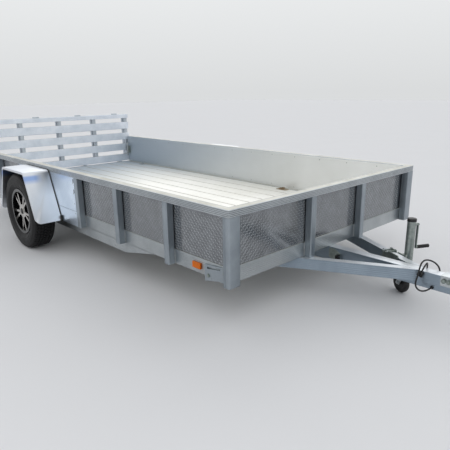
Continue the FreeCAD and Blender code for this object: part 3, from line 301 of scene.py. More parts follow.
# Key, then what metal() takes: name, colour, duller colour, roughness, axis of its lines, spacing of the lines
# and of the stains in mm, relief, colour at the rear and where that fades in
METALS = (
    # Mill-finish extruded aluminium: soft grey-white, with the die's lines along each piece
    ("rail_x", "extruded aluminium, lengthwise", "#b4b9bb", "#a6abae", 0.34, "x"),
    # A bluer copy for the pieces that run across the trailer: painted sky reflection
    ("rail_y", "extruded aluminium, crosswise", "#b2bac1", "#a4acb4", 0.34, "y"),
    ("top_side", "extruded aluminium, top rail's sides", "#c6cbce", "#b8bdc1", 0.36, "x"),
    ("post", "extruded aluminium, upright", "#a3abb1", "#959da4", 0.34, "z"),
    ("gate_bar", "extruded aluminium gate frame", "#c5ccd3", "#b5bdc5", 0.42, "z"),
    # Near-white, blue-tinted slats: painted sky light on the gate's faces
    ("slat", "extruded aluminium gate slat", "#eff4fc", "#dee5ee", 0.48, "y"),
    # Darker copy for the floors of the rails' grooves: painted shade
    ("groove", "shaded groove in a rail", "#6a7074", "#5f6569", 0.40, "x"),
    # The tongue's sides in a darker, bluer copy than its upper faces: painted shade
    ("tongue_side", "extruded aluminium, tongue's sides", "#97a4b0", "#8b98a4", 0.34, "x"),
    # Upper faces, painted lighter and warmer as if lit by the sky above them
    ("top", "extruded aluminium, worn bright", "#d0cfc8", "#c3c2ba", 0.60, "x"),
    ("top_y", "extruded aluminium, worn bright, crosswise", "#d0cfc8", "#c3c2ba", 0.60, "y"),
    ("tongue_top", "extruded aluminium, tongue's upper faces", "#eaedf1", "#dbdfe4", 0.50, "x"),
    # Rolled tread plate: brighter bars on a duller sheet, and its plain back
    ("tread", "rolled aluminium tread plate", "#878a8d", "#7a7c7f", 0.16, None, 2.5, 60, 0.05),
    ("tread_bar", "tread plate's raised bars", "#b2b5b8", "#9c9fa2", 0.22, None, 2.5, 60, 0.05),
    # The plain back inside the bed turns darker and bluer towards the rear: painted shade and reflection of the
    # gate
    ("inner_skin", "plain side of the tread plate", "#eff0f0", "#e5e6e4", 0.46, "x", 2.2, 900, 0.05, "#b4bec6"),
    # Bright smooth sheet, its colour tinted blue as a painted reflection of the sky
    ("sheet", "bright smooth aluminium sheet", "#d5dfea", "#c5d1de", 0.30, None, 3.0, 240, 0.03),
    # Floor planks, pale, with painted shade and reflection of the gate towards the rear; the joints' finish is
    # painted shade
    ("deck", "extruded floor planks", "#f5f4f0", "#eeede7", 0.62, "x", 2.0, 700, 0.08, "#ccd3d8", (-2.4, -0.9)),
    ("joint", "shaded joint between planks", "#cfccc4", "#c1beb6", 0.50, "x", 2.0, 300, 0.05),
    # Electroplated zinc: grey with a faint green cast, bright where new, yellow where passivated
    ("zinc", "zinc-plated steel", "#9ea6a2", "#868e8a", 0.34, None, 3.0, 30, 0.10),
    ("zinc_bright", "bright zinc-plated steel", "#c6cbcd", "#b5babd", 0.30, None, 3.0, 80, 0.05),
    ("zinc_warm", "yellow zinc-plated steel", "#a79274", "#85735a", 0.34, None, 2.0, 20, 0.10),
    # Wheel faces, cut bright on a lathe
    ("machined", "machined alloy face", "#cfccc7", "#a9a6a1", 0.20, None, 0.8, 60, 0.05),
    # Fresh weld: rippled, a little darker than the metal beside it
    ("weld", "aluminium weld bead", "#b9bcbe", "#8d9092", 0.30, None, 1.4, 12, 0.15),
)

# Key, then what moulded() takes: name, colour, worn colour, roughness, grain in mm, coat, relief and refraction
MOULDED = (
    ("wheel_black", "gloss black wheel paint", "#070708", "#0c0c0d", 0.26, 3.0, 0.4, 0.04, 1.45),
    ("hub_black", "black chassis paint", "#121213", "#24231f", 0.42, 2.0, 0.2, 0.10, 1.5),
    # Tyre rubber: dull black, greyer where dust lies
    ("tyre", "tyre rubber", "#0c0c0e", "#171616", 0.56, 1.0, 0.0, 0.30, 1.40),
    ("caster_rubber", "hard moulded caster rubber", "#111112", "#232222", 0.48, 0.9),
    ("plastic", "black moulded plastic", "#0e0e0f", "#1b1b1b", 0.38, 0.8),
    ("cord", "black cable jacket", "#0d0d0e", "#1c1c1d", 0.42, 0.6),
)

FINISHES = {}
SLOT_FINISH = {
    "extrusion": "rail_x", "tread_plate": "tread", "smooth_sheet": "sheet", "deck": "deck", "galvanised": "zinc",
    "black_steel": "hub_black", "alloy_wheel": "wheel_black", "tyre": "tyre", "caster_rubber": "caster_rubber",
    "black_plastic": "plastic", "amber_lens": "amber", "red_lens": "red",
}


def make_finishes(colours):
    """All of the trailer's finishes, by key."""
    for key, *row in METALS:
        FINISHES[key] = metal(*row)
    for key, *row in MOULDED:
        FINISHES[key] = moulded(*row)
    # Painted reflections on the fenders: a blue band of sky under the bend and a dark patch beside the bed
    FINISHES["fender"] = bent_sheet_with_painted_reflections("bright bent fender sheet", "#e1e4e9", "#d3d8df", tuple(colours.fender))
    FINISHES["amber"] = lens_finish("amber acrylic lens", tuple(colours.lens), "#b85405")
    FINISHES["red"] = lens_finish("red acrylic lens", linear("#b5100c"), "#7c0806")


class Shape:
    """Corners and faces of one piece, gathered before they become its mesh."""

    def __init__(self):
        self.mesh = bmesh.new()

    def add_face(self, corners, finish=0):
        self.mesh.faces.new(corners).material_index = finish

    def join_rings(self, first, second, finish):
        """Faces between two rings; a ring of one corner is a pole."""
        for i in range(max(len(first), len(second))):
            corners = [first[i % len(first)], first[(i + 1) % len(first)],
                       second[(i + 1) % len(second)], second[i % len(second)]]
            self.add_face(list(dict.fromkeys(corners)), finish)

    def sweep(self, profile, stations, finish=0, finishes=None):
        """A closed profile of (across, up) carried through stations of (origin, across axis, up axis)."""
        rings = [[self.mesh.verts.new(origin + across * a + up * b) for a, b in profile]
                 for origin, across, up in stations]
        for first, second in zip(rings, rings[1:]):
            for i in range(len(profile)):
                j = (i + 1) % len(profile)
                self.add_face([first[i], first[j], second[j], second[i]], finishes[i] if finishes else finish)
        self.add_face(rings[0], finish)
        self.add_face(rings[-1][::-1], finish)

    def turn(self, outline, centre, axis, steps=40, finish=0, closed=False, finishes=None):
        """An outline of (radius, along) turned about an axis through centre."""
        axis = Vector(axis).normalized()
        side = axis.orthogonal().normalized()
        other = axis.cross(side)
        rings = []
        for radius, along in outline:
            at = Vector(centre) + axis * along
            if radius < 1e-6:
                rings.append([self.mesh.verts.new(at)])
                continue
            rings.append([self.mesh.verts.new(at + (side * math.cos(t) + other * math.sin(t)) * radius)
                          for t in (2 * math.pi * k / steps for k in range(steps))])
        pairs = list(zip(rings, rings[1:]))
        if closed:
            pairs.append((rings[-1], rings[0]))
        for k, (first, second) in enumerate(pairs):
            self.join_rings(first, second, finishes[k] if finishes else finish)
        if not closed:
            for ring in (rings[0], rings[-1][::-1]):
                if len(ring) > 1:
                    self.add_face(ring, finish)

    def block(self, first, second, finish=0, cut=0.0):
        """A block between two opposite corners; cut takes its upright edges off at a slant."""
        (x0, x1), (y0, y1), (z0, z1) = (sorted(pair) for pair in zip(first, second))
        base = [(x0 + cut, y0), (x1 - cut, y0), (x1, y0 + cut), (x1, y1 - cut), (x1 - cut, y1), (x0 + cut, y1),
                (x0, y1 - cut), (x0, y0 + cut)] if cut else [(x0, y0), (x1, y0), (x1, y1), (x0, y1)]
        self.sweep(base, [(Z * z0, X, Y), (Z * z1, X, Y)], finish)

    def place(self, matrix):
        bmesh.ops.transform(self.mesh, matrix=matrix, verts=self.mesh.verts)


def mesh_of(shape, name, angle, recalculate=True):
    """The shape's mesh, smooth across shallow angles and sharp at the others."""
    if recalculate:
        bmesh.ops.recalc_face_normals(shape.mesh, faces=shape.mesh.faces)
    mesh = bpy.data.meshes.new(name)
    shape.mesh.to_mesh(mesh)
    shape.mesh.free()
    for face in mesh.polygons:
        face.use_smooth = True
    mesh.set_sharp_from_angle(angle=math.radians(angle))
    return mesh


def put(name, data):
    """A new object in the scene."""
    made = bpy.data.objects.new(name, data)
    bpy.context.scene.collection.objects.link(made)
    return made


def finish_piece(shape, name, finishes, nodes=(), body="chassis", slot="galvanised", bevel=0.0, angle=32,
                 recalculate=True):
    """Makes the piece's object; where it replaces CAD nodes, its body is theirs."""
    made = put(name, mesh_of(shape, name, angle, recalculate))
    for finish in finishes:
        made.data.materials.append(FINISHES[finish])
    if bevel:
        edge = made.modifiers.new("Rounded edges", "BEVEL")
        edge.width = bevel
        edge.segments = 2
        edge.limit_method = "ANGLE"
        edge.angle_limit = math.radians(34)
        edge.use_clamp_overlap = True
        edge.harden_normals = False
    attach(made, BODY_OF[nodes[0]] if nodes else body)
    if nodes:
        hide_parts(*nodes)
    SLOT_OF[nodes[0]] if nodes else slot
    return made


def merged(node):
    """A copy of a CAD node's mesh as joined, flat faces."""
    shape = Shape()
    shape.mesh.from_mesh(NODES[node].data)
    for face in shape.mesh.faces:
        face.material_index = 0
    bmesh.ops.remove_doubles(shape.mesh, verts=shape.mesh.verts, dist=1e-5)
    bmesh.ops.dissolve_limit(shape.mesh, angle_limit=math.radians(0.6), verts=shape.mesh.verts,
                             edges=shape.mesh.edges)
    return shape


def refine(node, finishes=None, bevel=0.0012, pick=None, angle=32):
    """The CAD node's form again, with broken edges and its finish; pick chooses a finish for each face."""
    shape = merged(node)
    if pick:
        for face in shape.mesh.faces:
            face.material_index = int(pick(face))
    return finish_piece(shape, f"{node}_finished", finishes or [SLOT_FINISH[SLOT_OF[node]]], [node], bevel=bevel,
                        angle=angle, recalculate=False)


REPEAT = {}


def repeat_tree():
    """Geometry nodes that set one item on every point, turned and stretched as the point says."""
    if "tree" in REPEAT:
        return REPEAT["tree"]
    tree = bpy.data.node_groups.new("Repeated small parts", "GeometryNodeTree")
    face = tree.interface
    face.new_socket(name="Points", in_out="INPUT", socket_type="NodeSocketGeometry")
    for name, kind in (("Item", "NodeSocketObject"), ("Finish", "NodeSocketMaterial")):
        REPEAT[name] = face.new_socket(name=name, in_out="INPUT", socket_type=kind).identifier
    face.new_socket(name="Parts", in_out="OUTPUT", socket_type="NodeSocketGeometry")
    given = add_node(tree, "NodeGroupInput")
    item = add_node(tree, "GeometryNodeObjectInfo", {"Object": given.outputs["Item"]})
    turn, size = (add_node(tree, "GeometryNodeInputNamedAttribute", {"Name": key},
                           data_type="FLOAT_VECTOR").outputs["Attribute"] for key in ("turn", "size"))
    turned = add_node(tree, "FunctionNodeEulerToRotation", {0: turn})
    placed = add_node(tree, "GeometryNodeInstanceOnPoints",
                      {"Points": given.outputs["Points"], "Instance": item.outputs["Geometry"],
                       "Rotation": turned.outputs[0], "Scale": size})
    real = add_node(tree, "GeometryNodeRealizeInstances", {"Geometry": placed.outputs[0]})
    coloured = add_node(tree, "GeometryNodeSetMaterial",
                        {"Geometry": real.outputs[0], "Material": given.outputs["Finish"]})
    add_node(tree, "NodeGroupOutput", {"Parts": coloured.outputs[0]})
    REPEAT["tree"] = tree
    return tree


def repeat(name, item, points, finish="zinc", body="chassis", angle=32):
    """One mesh of the item at each point; points are (place, turn as x, y and z angles, stretch)."""
    item_object = put(name + "_item", mesh_of(item, name + "_item", angle))
    cloud = bpy.data.meshes.new(name + "_points")
    cloud.from_pydata([tuple(p[0]) for p in points], [], [])
    for key, column in (("turn", 1), ("size", 2)):
        attribute = cloud.attributes.new(key, "FLOAT_VECTOR", "POINT")
        attribute.data.foreach_set("vector", [v for p in points for v in p[column]])
    carrier = put(name + "_carrier", cloud)
    modifier = carrier.modifiers.new("Repeated", "NODES")
    modifier.node_group = repeat_tree()
    modifier[REPEAT["Item"]] = item_object
    modifier[REPEAT["Finish"]] = FINISHES[finish]
    bpy.context.view_layer.update()
    mesh = bpy.data.meshes.new_from_object(carrier.evaluated_get(bpy.context.evaluated_depsgraph_get()))
    mesh.name = name
    for key in ("turn", "size"):
        if key in mesh.attributes:
            mesh.attributes.remove(mesh.attributes[key])
    for extra in (carrier, item_object):
        bpy.data.objects.remove(extra)
    made = put(name, mesh)
    if not mesh.materials:
        mesh.materials.append(FINISHES[finish])
    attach(made, body)


def dome(radius, tall, steps=8):
    """A rivet's head, standing on z = 0."""
    shape = Shape()
    shape.turn([(0, -0.0005), (radius, -0.0005), (radius, 0), (radius * 0.8, tall * 0.65), (0, tall)],
               (0, 0, 0), Z, steps)
    return shape


def bolt_head(across, tall):
    """A hexagon head on its washer, standing on z = 0."""
    shape = Shape()
    shape.turn([(0, -0.0005), (across * 0.78, -0.0005), (across * 0.78, tall * 0.2), (0, tall * 0.2)],
               (0, 0, 0), Z, 16)
    shape.turn([(0, tall * 0.15), (across * 0.577, tall * 0.15), (across * 0.577, tall * 0.85),
                (across * 0.47, tall), (0, tall)], (0, 0, 0), Z, 6)
    return shape


TO_SIDE = {"+x": (0, math.pi / 2, 0), "-x": (0, -math.pi / 2, 0), "+y": (-math.pi / 2, 0, 0),
           "-y": (math.pi / 2, 0, 0), "+z": (0, 0, 0)}
PLAIN = (1, 1, 1)


def facing(side, places):
    """Points for repeat() that all look to one side."""
    return [(p, TO_SIDE[side], PLAIN) for p in places]


def looking(place, axis):
    """A point for repeat() that looks along an axis."""
    return (place, tuple(Z.rotation_difference(axis).to_euler()), PLAIN)


def marks(start, end, step):
    """Places from start until end, a step apart."""
    while start < end:
        yield start
        start += step


def drawn_outline(wide, tall, radii, lines=((), (), (), ()), half=0.0022, groove=0.0020):
    """A drawn bar's section: four corner radii from the lower left round, and fine grooves at places on each side.

    The sides run from (0, 0) to (wide, 0), up to (wide, tall), back to (0, tall) and down again.
    """
    corners = [Vector((0, 0)), Vector((wide, 0)), Vector((wide, tall)), Vector((0, tall))]
    ahead = [Vector((1, 0)), Vector((0, 1)), Vector((-1, 0)), Vector((0, -1))]
    outline = []
    for i in range(4):
        way, before, inwards = ahead[i], ahead[i - 1], ahead[(i + 1) % 4]
        radius = radii[i]
        centre = corners[i] + (way - before) * radius
        steps = 1 if radius < 0.002 else 2 if radius < 0.008 else 7
        for k in range(steps + 1):
            t = math.pi / 2 * k / steps
            outline.append(centre - way * radius * math.cos(t) + before * radius * math.sin(t))
        for place in lines[i]:
            at = corners[i] + way * place
            for shift, depth in ((-half, 0), (-half * 0.5, groove), (half * 0.5, groove), (half, 0)):
                outline.append(at + way * shift + inwards * depth)
    return [(p.x, p.y) for p in outline]


def spaced(length, pitch):
    """Places of grooves along a side, a pitch or so apart and clear of both corners."""
    count = max(1, int(round(length / pitch)))
    return [length * k / count for k in range(1, count)]


def ribbed(wide, tall, radius, pitch, half, groove):
    """A drawn bar's section with evenly spaced grooves on both of its sides."""
    lines = spaced(tall, pitch)
    return drawn_outline(wide, tall, (radius,) * 4, ((), lines, (), lines), half, groove)


def upper_faces(profile):
    """A finish for each side of a section: 1 where it is the top, else 0; the top takes the lighter copy of a
    finish, painted light from the sky.
    """
    top = max(b for _, b in profile) - 1e-5
    return [int(a[1] > top and b[1] > top) for a, b in zip(profile, profile[1:] + profile[:1])]


def groove_floors(profile, tops, outer, groove, finish):
    """The same finishes, with a darker one, painted shade, on the floors of the grooves in a section's outer side.
    """
    floor = outer - groove
    return [finish if abs(a[0] - floor) < 1e-6 and abs(b[0] - floor) < 1e-6 else top
            for a, b, top in zip(profile, profile[1:] + profile[:1], tops)]


def solid_boxes(node):
    """The lowest and highest corner of each separate bar of a CAD node, in a fixed order."""
    shape = merged(node)
    left = set(shape.mesh.verts)
    found = []
    while left:
        stack = [left.pop()]
        group = [stack[0]]
        while stack:
            for edge in stack.pop().link_edges:
                for other in edge.verts:
                    if other in left:
                        left.discard(other)
                        group.append(other)
                        stack.append(other)
        found.append([Vector([pick(v.co[i] for v in group) for i in range(3)]) for pick in (min, max)])
    shape.mesh.free()
    found.sort(key=lambda box: tuple(box[0]))
    return [(low, high) for low, high in found
            if not any(all(a[i] < low[i] + 1e-4 and b[i] > high[i] - 1e-4 for i in range(3))
                       and (b - a) != (high - low) for a, b in found)]


def draw_bars(node, finishes, axis, section):
    """Replaces a CAD node's straight bars by drawn ones along an axis; section gives the outline for each box."""
    across = Y if axis == X else X
    up = Y if axis == Z else Z
    shape = Shape()
    for low, high in solid_boxes(node):
        profile = section(low, high)
        end = Vector([b if along else a for a, b, along in zip(low, high, axis)])
        shape.sweep(profile, [(low, across, up), (end, across, up)],
                    finishes=upper_faces(profile) if len(finishes) > 1 else None)
    finish_piece(shape, f"{node}_drawn", finishes, [node], angle=DRAWN_SHARP)


def outer_y(node, sign):
    """A piece's side face away from the trailer's middle."""
    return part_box(node)[0 if sign < 0 else 1].y


def inner_y(node, sign):
    """A piece's side face towards the trailer's middle."""
    low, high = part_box(node)
    return min(abs(low.y), abs(high.y)) * sign


class TRAILER_OT_rails(bpy.types.Operator):
    """Top rail and lower rail, drawn with fine grooves on their outer faces"""

    bl_idname = "trailer.rails"
    bl_label = "Rails"

    def execute(self, context):
        sizes = context.scene.trailer_sizes
        self.rail("top_rail_drawn", ["top_rail_right", "top_rail_left", "top_rail_front"],
                  ["top_side", "top", "groove"], (0.001, 0.003, 0.003, 0.003), 0.0095, (0.011,), 0.0021,
                  sizes.rib_deep, CORNER_ROUND)
        self.rail("lower_rail_drawn", ["side_rail_right", "side_rail_left", "front_rail"], ["rail_x", "top"],
                  (0.001, 0.003, 0.003, 0.001), sizes.rib_pitch, (), 0.0024, sizes.rib_deep * 0.6, 0.003)
        for side, sign in SIDES:
            self.deeper_rail(f"sub_rail_{side}", sign, sizes.rib_pitch)
        refine("rear_sill", ["rail_y"], 0.002)
        return {"FINISHED"}

    def rail(self, name, nodes, finishes, radii, pitch, top_lines, half, groove, rounding):
        """A rail along the right side, round the front and back along the left side; nodes in the order given."""
        low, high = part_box(nodes[0])
        inner, front = -high.y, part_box(nodes[2])[0].x
        deep, tall = high.y - low.y, high.z - low.z
        lines = ((), spaced(tall, pitch), [deep - a for a in top_lines], ())
        profile = drawn_outline(deep, tall, radii, lines, half, groove)
        # The groove floors take the painted shade finish, where one is given
        floors = finishes.index("groove") if "groove" in finishes else 0
        flat = deep - rounding
        bend = [(0, 1), (flat / deep, 1)]
        for k in range(1, 6):
            t = math.pi / 2 * k / 6
            bend.append(((flat + rounding * math.sin(t)) / deep, (flat + rounding * math.cos(t)) / deep))
        bend += [(1, flat / deep), (1, 0)]
        stations = [(Vector((low.x, -inner, low.z)), -Y, Z)]
        stations += [(Vector((front, -inner, low.z)), X * a - Y * b, Z) for a, b in bend]
        stations += [(Vector((front, inner, low.z)), X * a + Y * b, Z) for a, b in reversed(bend)]
        stations.append((Vector((low.x, inner, low.z)), Y, Z))
        shape = Shape()
        shape.sweep(profile, stations, finishes=groove_floors(profile, upper_faces(profile), deep, groove, floors))
        finish_piece(shape, name, finishes, nodes, angle=DRAWN_SHARP)

    def deeper_rail(self, node, sign, pitch):
        """The tapered rail under the lower one, with ribs as long as its outline lets them be."""
        low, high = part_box(node)
        outer = outer_y(node, sign)
        shape = merged(node)
        count = int((high.z - low.z) / pitch)
        levels = [low.z + k * (high.z - low.z) / count for k in range(1, count)]
        spans = [(level, a, b) for level in levels for a, b in self.widths(shape.mesh, outer, level)]
        for level, a, b in spans:
            if b - a < SHORTEST_RIB:
                continue
            shape.sweep([(0, -0.0026), (0.0009, -0.0012), (0.0009, 0.0012), (0, 0.0026)],
                        [(Vector((x, outer, level)), Y * sign, Z) for x in (a + 0.006, b - 0.006)])
        finish_piece(shape, f"{node}_drawn", ["rail_x"], [node])

    def widths(self, mesh, y, z):
        """Where the outer face reaches at one height, as (start, end) pairs."""
        cuts = []
        for face in mesh.faces:
            if any(abs(v.co.y - y) > 1e-4 for v in face.verts):
                continue
            hits = []
            for edge in face.edges:
                a, b = (v.co for v in edge.verts)
                if (a.z - z) * (b.z - z) < 0:
                    hits.append(a.x + (b.x - a.x) * (z - a.z) / (b.z - a.z))
            if len(hits) >= 2:
                cuts.append((min(hits), max(hits)))
        joined = []
        for a, b in sorted(cuts):
            if joined and a <= joined[-1][1] + 1e-4:
                joined[-1][1] = max(joined[-1][1], b)
            else:
                joined.append([a, b])
        return joined


class TRAILER_OT_posts(bpy.types.Operator):
    """Side, corner and front posts with their drawn lines, the slotted corner plates and the crossmembers"""

    bl_idname = "trailer.posts"
    bl_label = "Posts"

    def execute(self, context):
        for side, _ in SIDES:
            draw_bars(f"posts_{side}", ["post"], Z, self.section)
        draw_bars("front_posts", ["post"], Z, lambda low, high: self.section(low, high, False))
        points = []
        for side, sign in SIDES:
            node = f"corner_gusset_{side}"
            refine(node, ["post"])
            low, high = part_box(node)
            y = outer_y(node, sign)
            points += facing(OUTWARD[sign], [(low.x + 0.034, y, low.z + 0.042),
                                             (high.x - 0.030, y, high.z - 0.034)])
        repeat("gusset_bolts", bolt_head(0.017, 0.008), points)
        refine("crossmembers", ["rail_y"], 0)
        return {"FINISHED"}

    def section(self, low, high, corners=True):
        """A post's outline; one at the trailer's corner is rounded there, with its lines on one side alone."""
        wide, deep = high.x - low.x, high.y - low.y
        sides = [(POST_LINE_IN, wide - POST_LINE_IN), (POST_LINE_IN, deep - POST_LINE_IN)] * 2
        radii = [0.004] * 4
        if corners and high.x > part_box("top_rail_front")[1].x - 1e-3:
            lines = (0.007, 0.014, 0.021)
            radii[1 if low.y < 0 else 2] = CORNER_ROUND
            sides[:3] = (lines, (), ()) if low.y < 0 else ((), (), [wide - a for a in lines])
        return drawn_outline(wide, deep, radii, sides, 0.0016, 0.0016)


class TRAILER_OT_panels(bpy.types.Operator):
    """Tread-plate side and front panels, smooth sheets, their rivets and the posts' welds"""

    bl_idname = "trailer.panels"
    bl_label = "Panels"

    def execute(self, context):
        sizes = context.scene.trailer_sizes
        for side, sign in SIDES:
            node = f"side_panel_{side}"
            refine(node, ["tread", "inner_skin"], 0, lambda face, sign=sign: face.normal.y * sign < -0.5)
            refine(f"arch_panel_{side}", bevel=0.0008)
            self.bars(node, sign, sizes)
        refine("front_panel", ["tread", "inner_skin"], 0, lambda face: face.normal.x < -0.5)
        self.bars("front_panel", 0, sizes)
        self.rivets(sizes.rivet_radius)
        self.welds()
        return {"FINISHED"}

    def bars(self, node, sign, sizes):
        """Raised bars of the tread plate, each set across its neighbours; a sign of 0 is the front panel's."""
        long, pitch = sizes.bar_long, sizes.bar_pitch
        wide = long * 0.26
        item = Shape()
        corners = [(-long / 2, 0), (-long / 4, -wide / 2), (long / 4, -wide / 2), (long / 2, 0),
                   (long / 4, wide / 2), (-long / 4, wide / 2)]
        base = [item.mesh.verts.new((a, b, -0.0004)) for a, b in corners]
        ridge = {end: item.mesh.verts.new((a * long, 0, BAR_TALL)) for end, a in (("a", -0.3), ("b", 0.3))}
        item.add_face(base[::-1])
        for i, ends in enumerate(("a", "ba", "b", "b", "ab", "a")):
            item.add_face([base[i], base[(i + 1) % 6]] + [ridge[end] for end in ends])
        low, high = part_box(node)
        bottom = low.z + pitch * 0.5
        rows = int((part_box("top_rail_right")[0].z - pitch * 0.5 - bottom) / pitch)
        start, end = low.y + FRONT_MARGIN, high.y - FRONT_MARGIN
        if sign:
            start, end = low.x + SIDE_MARGIN, high.x - SIDE_MARGIN
        arch_low, arch_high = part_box("arch_panel_right")
        turned = (TO_SIDE[OUTWARD[sign]][0], 3, "X") if sign else (math.pi / 2, 3, "Y")
        slants = [tuple((Matrix.Rotation(*turned) @ Matrix.Rotation(math.radians(a), 3, "Z")).to_euler())
                  for a in (-45, 45)]
        points = []
        for i in range(int((end - start) / pitch)):
            along = start + (i + 0.5) * pitch
            if sign and arch_low.x - 0.01 < along < arch_high.x + 0.01:
                continue
            for k in range(rows + 1):
                level = bottom + k * pitch
                place = (along, outer_y(node, sign), level) if sign else (high.x, along, level)
                points.append((place, slants[(i + k) % 2], PLAIN))
        repeat(f"{node}_bars", item, points, "tread_bar")

    def rivets(self, radius):
        """Rivets along the panels' edges inside the bed and on the smooth sheets, and the sheets' dark slots."""
        low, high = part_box("side_panel_right")
        levels = (high.z - 0.028, low.z + 0.020)
        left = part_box("side_panel_left")[0].y
        points = []
        for x in marks(low.x + 0.10, high.x - 0.05, RIVET_PITCH):
            for level in levels:
                points += facing("+y", [(x, high.y, level)]) + facing("-y", [(x, left, level)])
        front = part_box("front_panel")[0].x
        points += facing("-x", [(front, k * RIVET_PITCH, level) for k in range(-3, 4) for level in levels])
        places = []
        for side, sign in SIDES:
            low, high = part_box(f"arch_panel_{side}")
            y = outer_y(f"arch_panel_{side}", sign)
            points += facing(OUTWARD[sign], [(x, y, high.z - 0.05 - 0.085 * k)
                                             for x in (low.x + 0.022, high.x - 0.022) for k in range(4)])
            places += facing(OUTWARD[sign], [(high.x - 0.010, y, level) for level in (0.688, 0.600)])
        repeat("panel_rivets", dome(radius, radius * 0.5), points)
        slot = Shape()
        slot.block((-0.005, -0.017, -0.0004), (0.005, 0.017, 0.0008), cut=0.004)
        repeat("sheet_slots", slot, places, "plastic")

    def welds(self):
        """Rippled beads down both edges of each post where it meets the lower rail, and under the top rail."""
        rail_low, rail_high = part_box("side_rail_right")
        face = abs(rail_low.y)
        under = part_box("top_rail_right")[0].z
        levels = list(marks(rail_low.z + 0.006, rail_high.z - 0.004, WELD_RIPPLE))
        points = []
        for side, sign in SIDES:
            for low, high in solid_boxes(f"posts_{side}"):
                for x in (low.x, high.x):
                    if x > rail_high.x:
                        continue
                    points += facing("+z", [(x, sign * face, z) for z in levels])
                    points += [((x, sign * (face + across), under), TO_SIDE["+z"], (1, 1, 0.8))
                               for across in marks(0.004, high.y - low.y - 0.004, WELD_RIPPLE)]
        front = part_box("front_rail")[1].x
        for low, high in solid_boxes("front_posts"):
            points += facing("+z", [(front, y, z) for y in (low.y, high.y) for z in levels])
        repeat("post_welds", dome(0.0042, 0.0030), points, "weld", angle=60)


class TRAILER_OT_floor(bpy.types.Operator):
    """Extruded floor planks with lengthwise ribs"""

    bl_idname = "trailer.floor"
    bl_label = "Floor"

    def execute(self, context):
        low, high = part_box("deck_planks")
        pitch = (high.y - low.y + PLANK_GAP) / PLANKS
        wide = pitch - PLANK_GAP
        tall = high.z - low.z
        outline = [(0, 0), (0, tall - 0.006), (PLANK_EDGE, tall)]
        for k in range(1, PLANK_RIBS):
            groove = k * wide / PLANK_RIBS
            outline += [(groove - 0.0045, tall), (groove - 0.0018, tall - 0.0012),
                        (groove + 0.0018, tall - 0.0012), (groove + 0.0045, tall)]
        outline += [(wide - PLANK_EDGE, tall), (wide, tall - 0.006), (wide, 0)]
        finishes = [0] * len(outline)
        # The slanted edges stand in the joint's shade
        finishes[1] = finishes[-3] = 1
        shape = Shape()
        points = []
        for k in range(PLANKS):
            start = low.y + k * pitch
            shape.sweep(outline, [(Vector((x, start, low.z)), Y, Z) for x in (low.x, high.x)], finishes=finishes)
            points += facing("+z", [(x, start + wide / 2 + aside, high.z - 0.0002)
                                    for x in (low.x + SCREW_IN, high.x - SCREW_IN)
                                    for aside in (-SCREW_ASIDE, SCREW_ASIDE)])
        finish_piece(shape, "deck_planks_drawn", ["deck", "joint"], ["deck_planks"], angle=20)
        repeat("deck_screws", dome(0.006, 0.0011, 10), points)
        return {"FINISHED"}


class TRAILER_OT_gate(bpy.types.Operator):
    """Bi-fold gate: ribbed slats on square uprights, hinges and latches"""

    bl_idname = "trailer.gate"
    bl_label = "Gate"

    def execute(self, context):
        for half in ("lower", "upper"):
            draw_bars(f"gate_{half}_slats", ["slat", "top_y"], Y, lambda low, high: ribbed(
                high.x - low.x, high.z - low.z, 0.0015, SLAT_RIB_PITCH, 0.0018, 0.0012))
            refine(f"gate_{half}_frame", ["gate_bar"], 0.0015)
        refine("gate_hinge_knuckles", ["zinc"], 0.0008)
        bolts = []
        for side, sign in SIDES:
            node = f"gate_latch_{side}"
            refine(node, bevel=0.002)
            low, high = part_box(node)
            inner = inner_y(node, sign)
            shape = Shape()
            shape.turn([(0, low.z - 0.040), (0.007, low.z - 0.040), (0.008, low.z - 0.036),
                        (0.008, high.z + 0.030), (0.014, high.z + 0.031), (0.014, high.z + 0.038),
                        (0, high.z + 0.040)], (low.x + 0.022, inner - sign * 0.012, 0), Z, 16)
            for z in (low.z + 0.012, high.z - 0.020):
                shape.block((low.x + 0.008, inner, z), (low.x + 0.036, inner - sign * 0.024, z + 0.010), cut=0.003)
            finish_piece(shape, f"gate_latch_pin_{side}", ["zinc_bright"], angle=ROUND_SHARP)
            bolts += facing(OUTWARD[-sign], [(high.x - 0.006, inner, z) for z in (low.z + 0.012, high.z - 0.012)])
        repeat("gate_latch_bolts", bolt_head(0.011, 0.005), bolts)
        return {"FINISHED"}


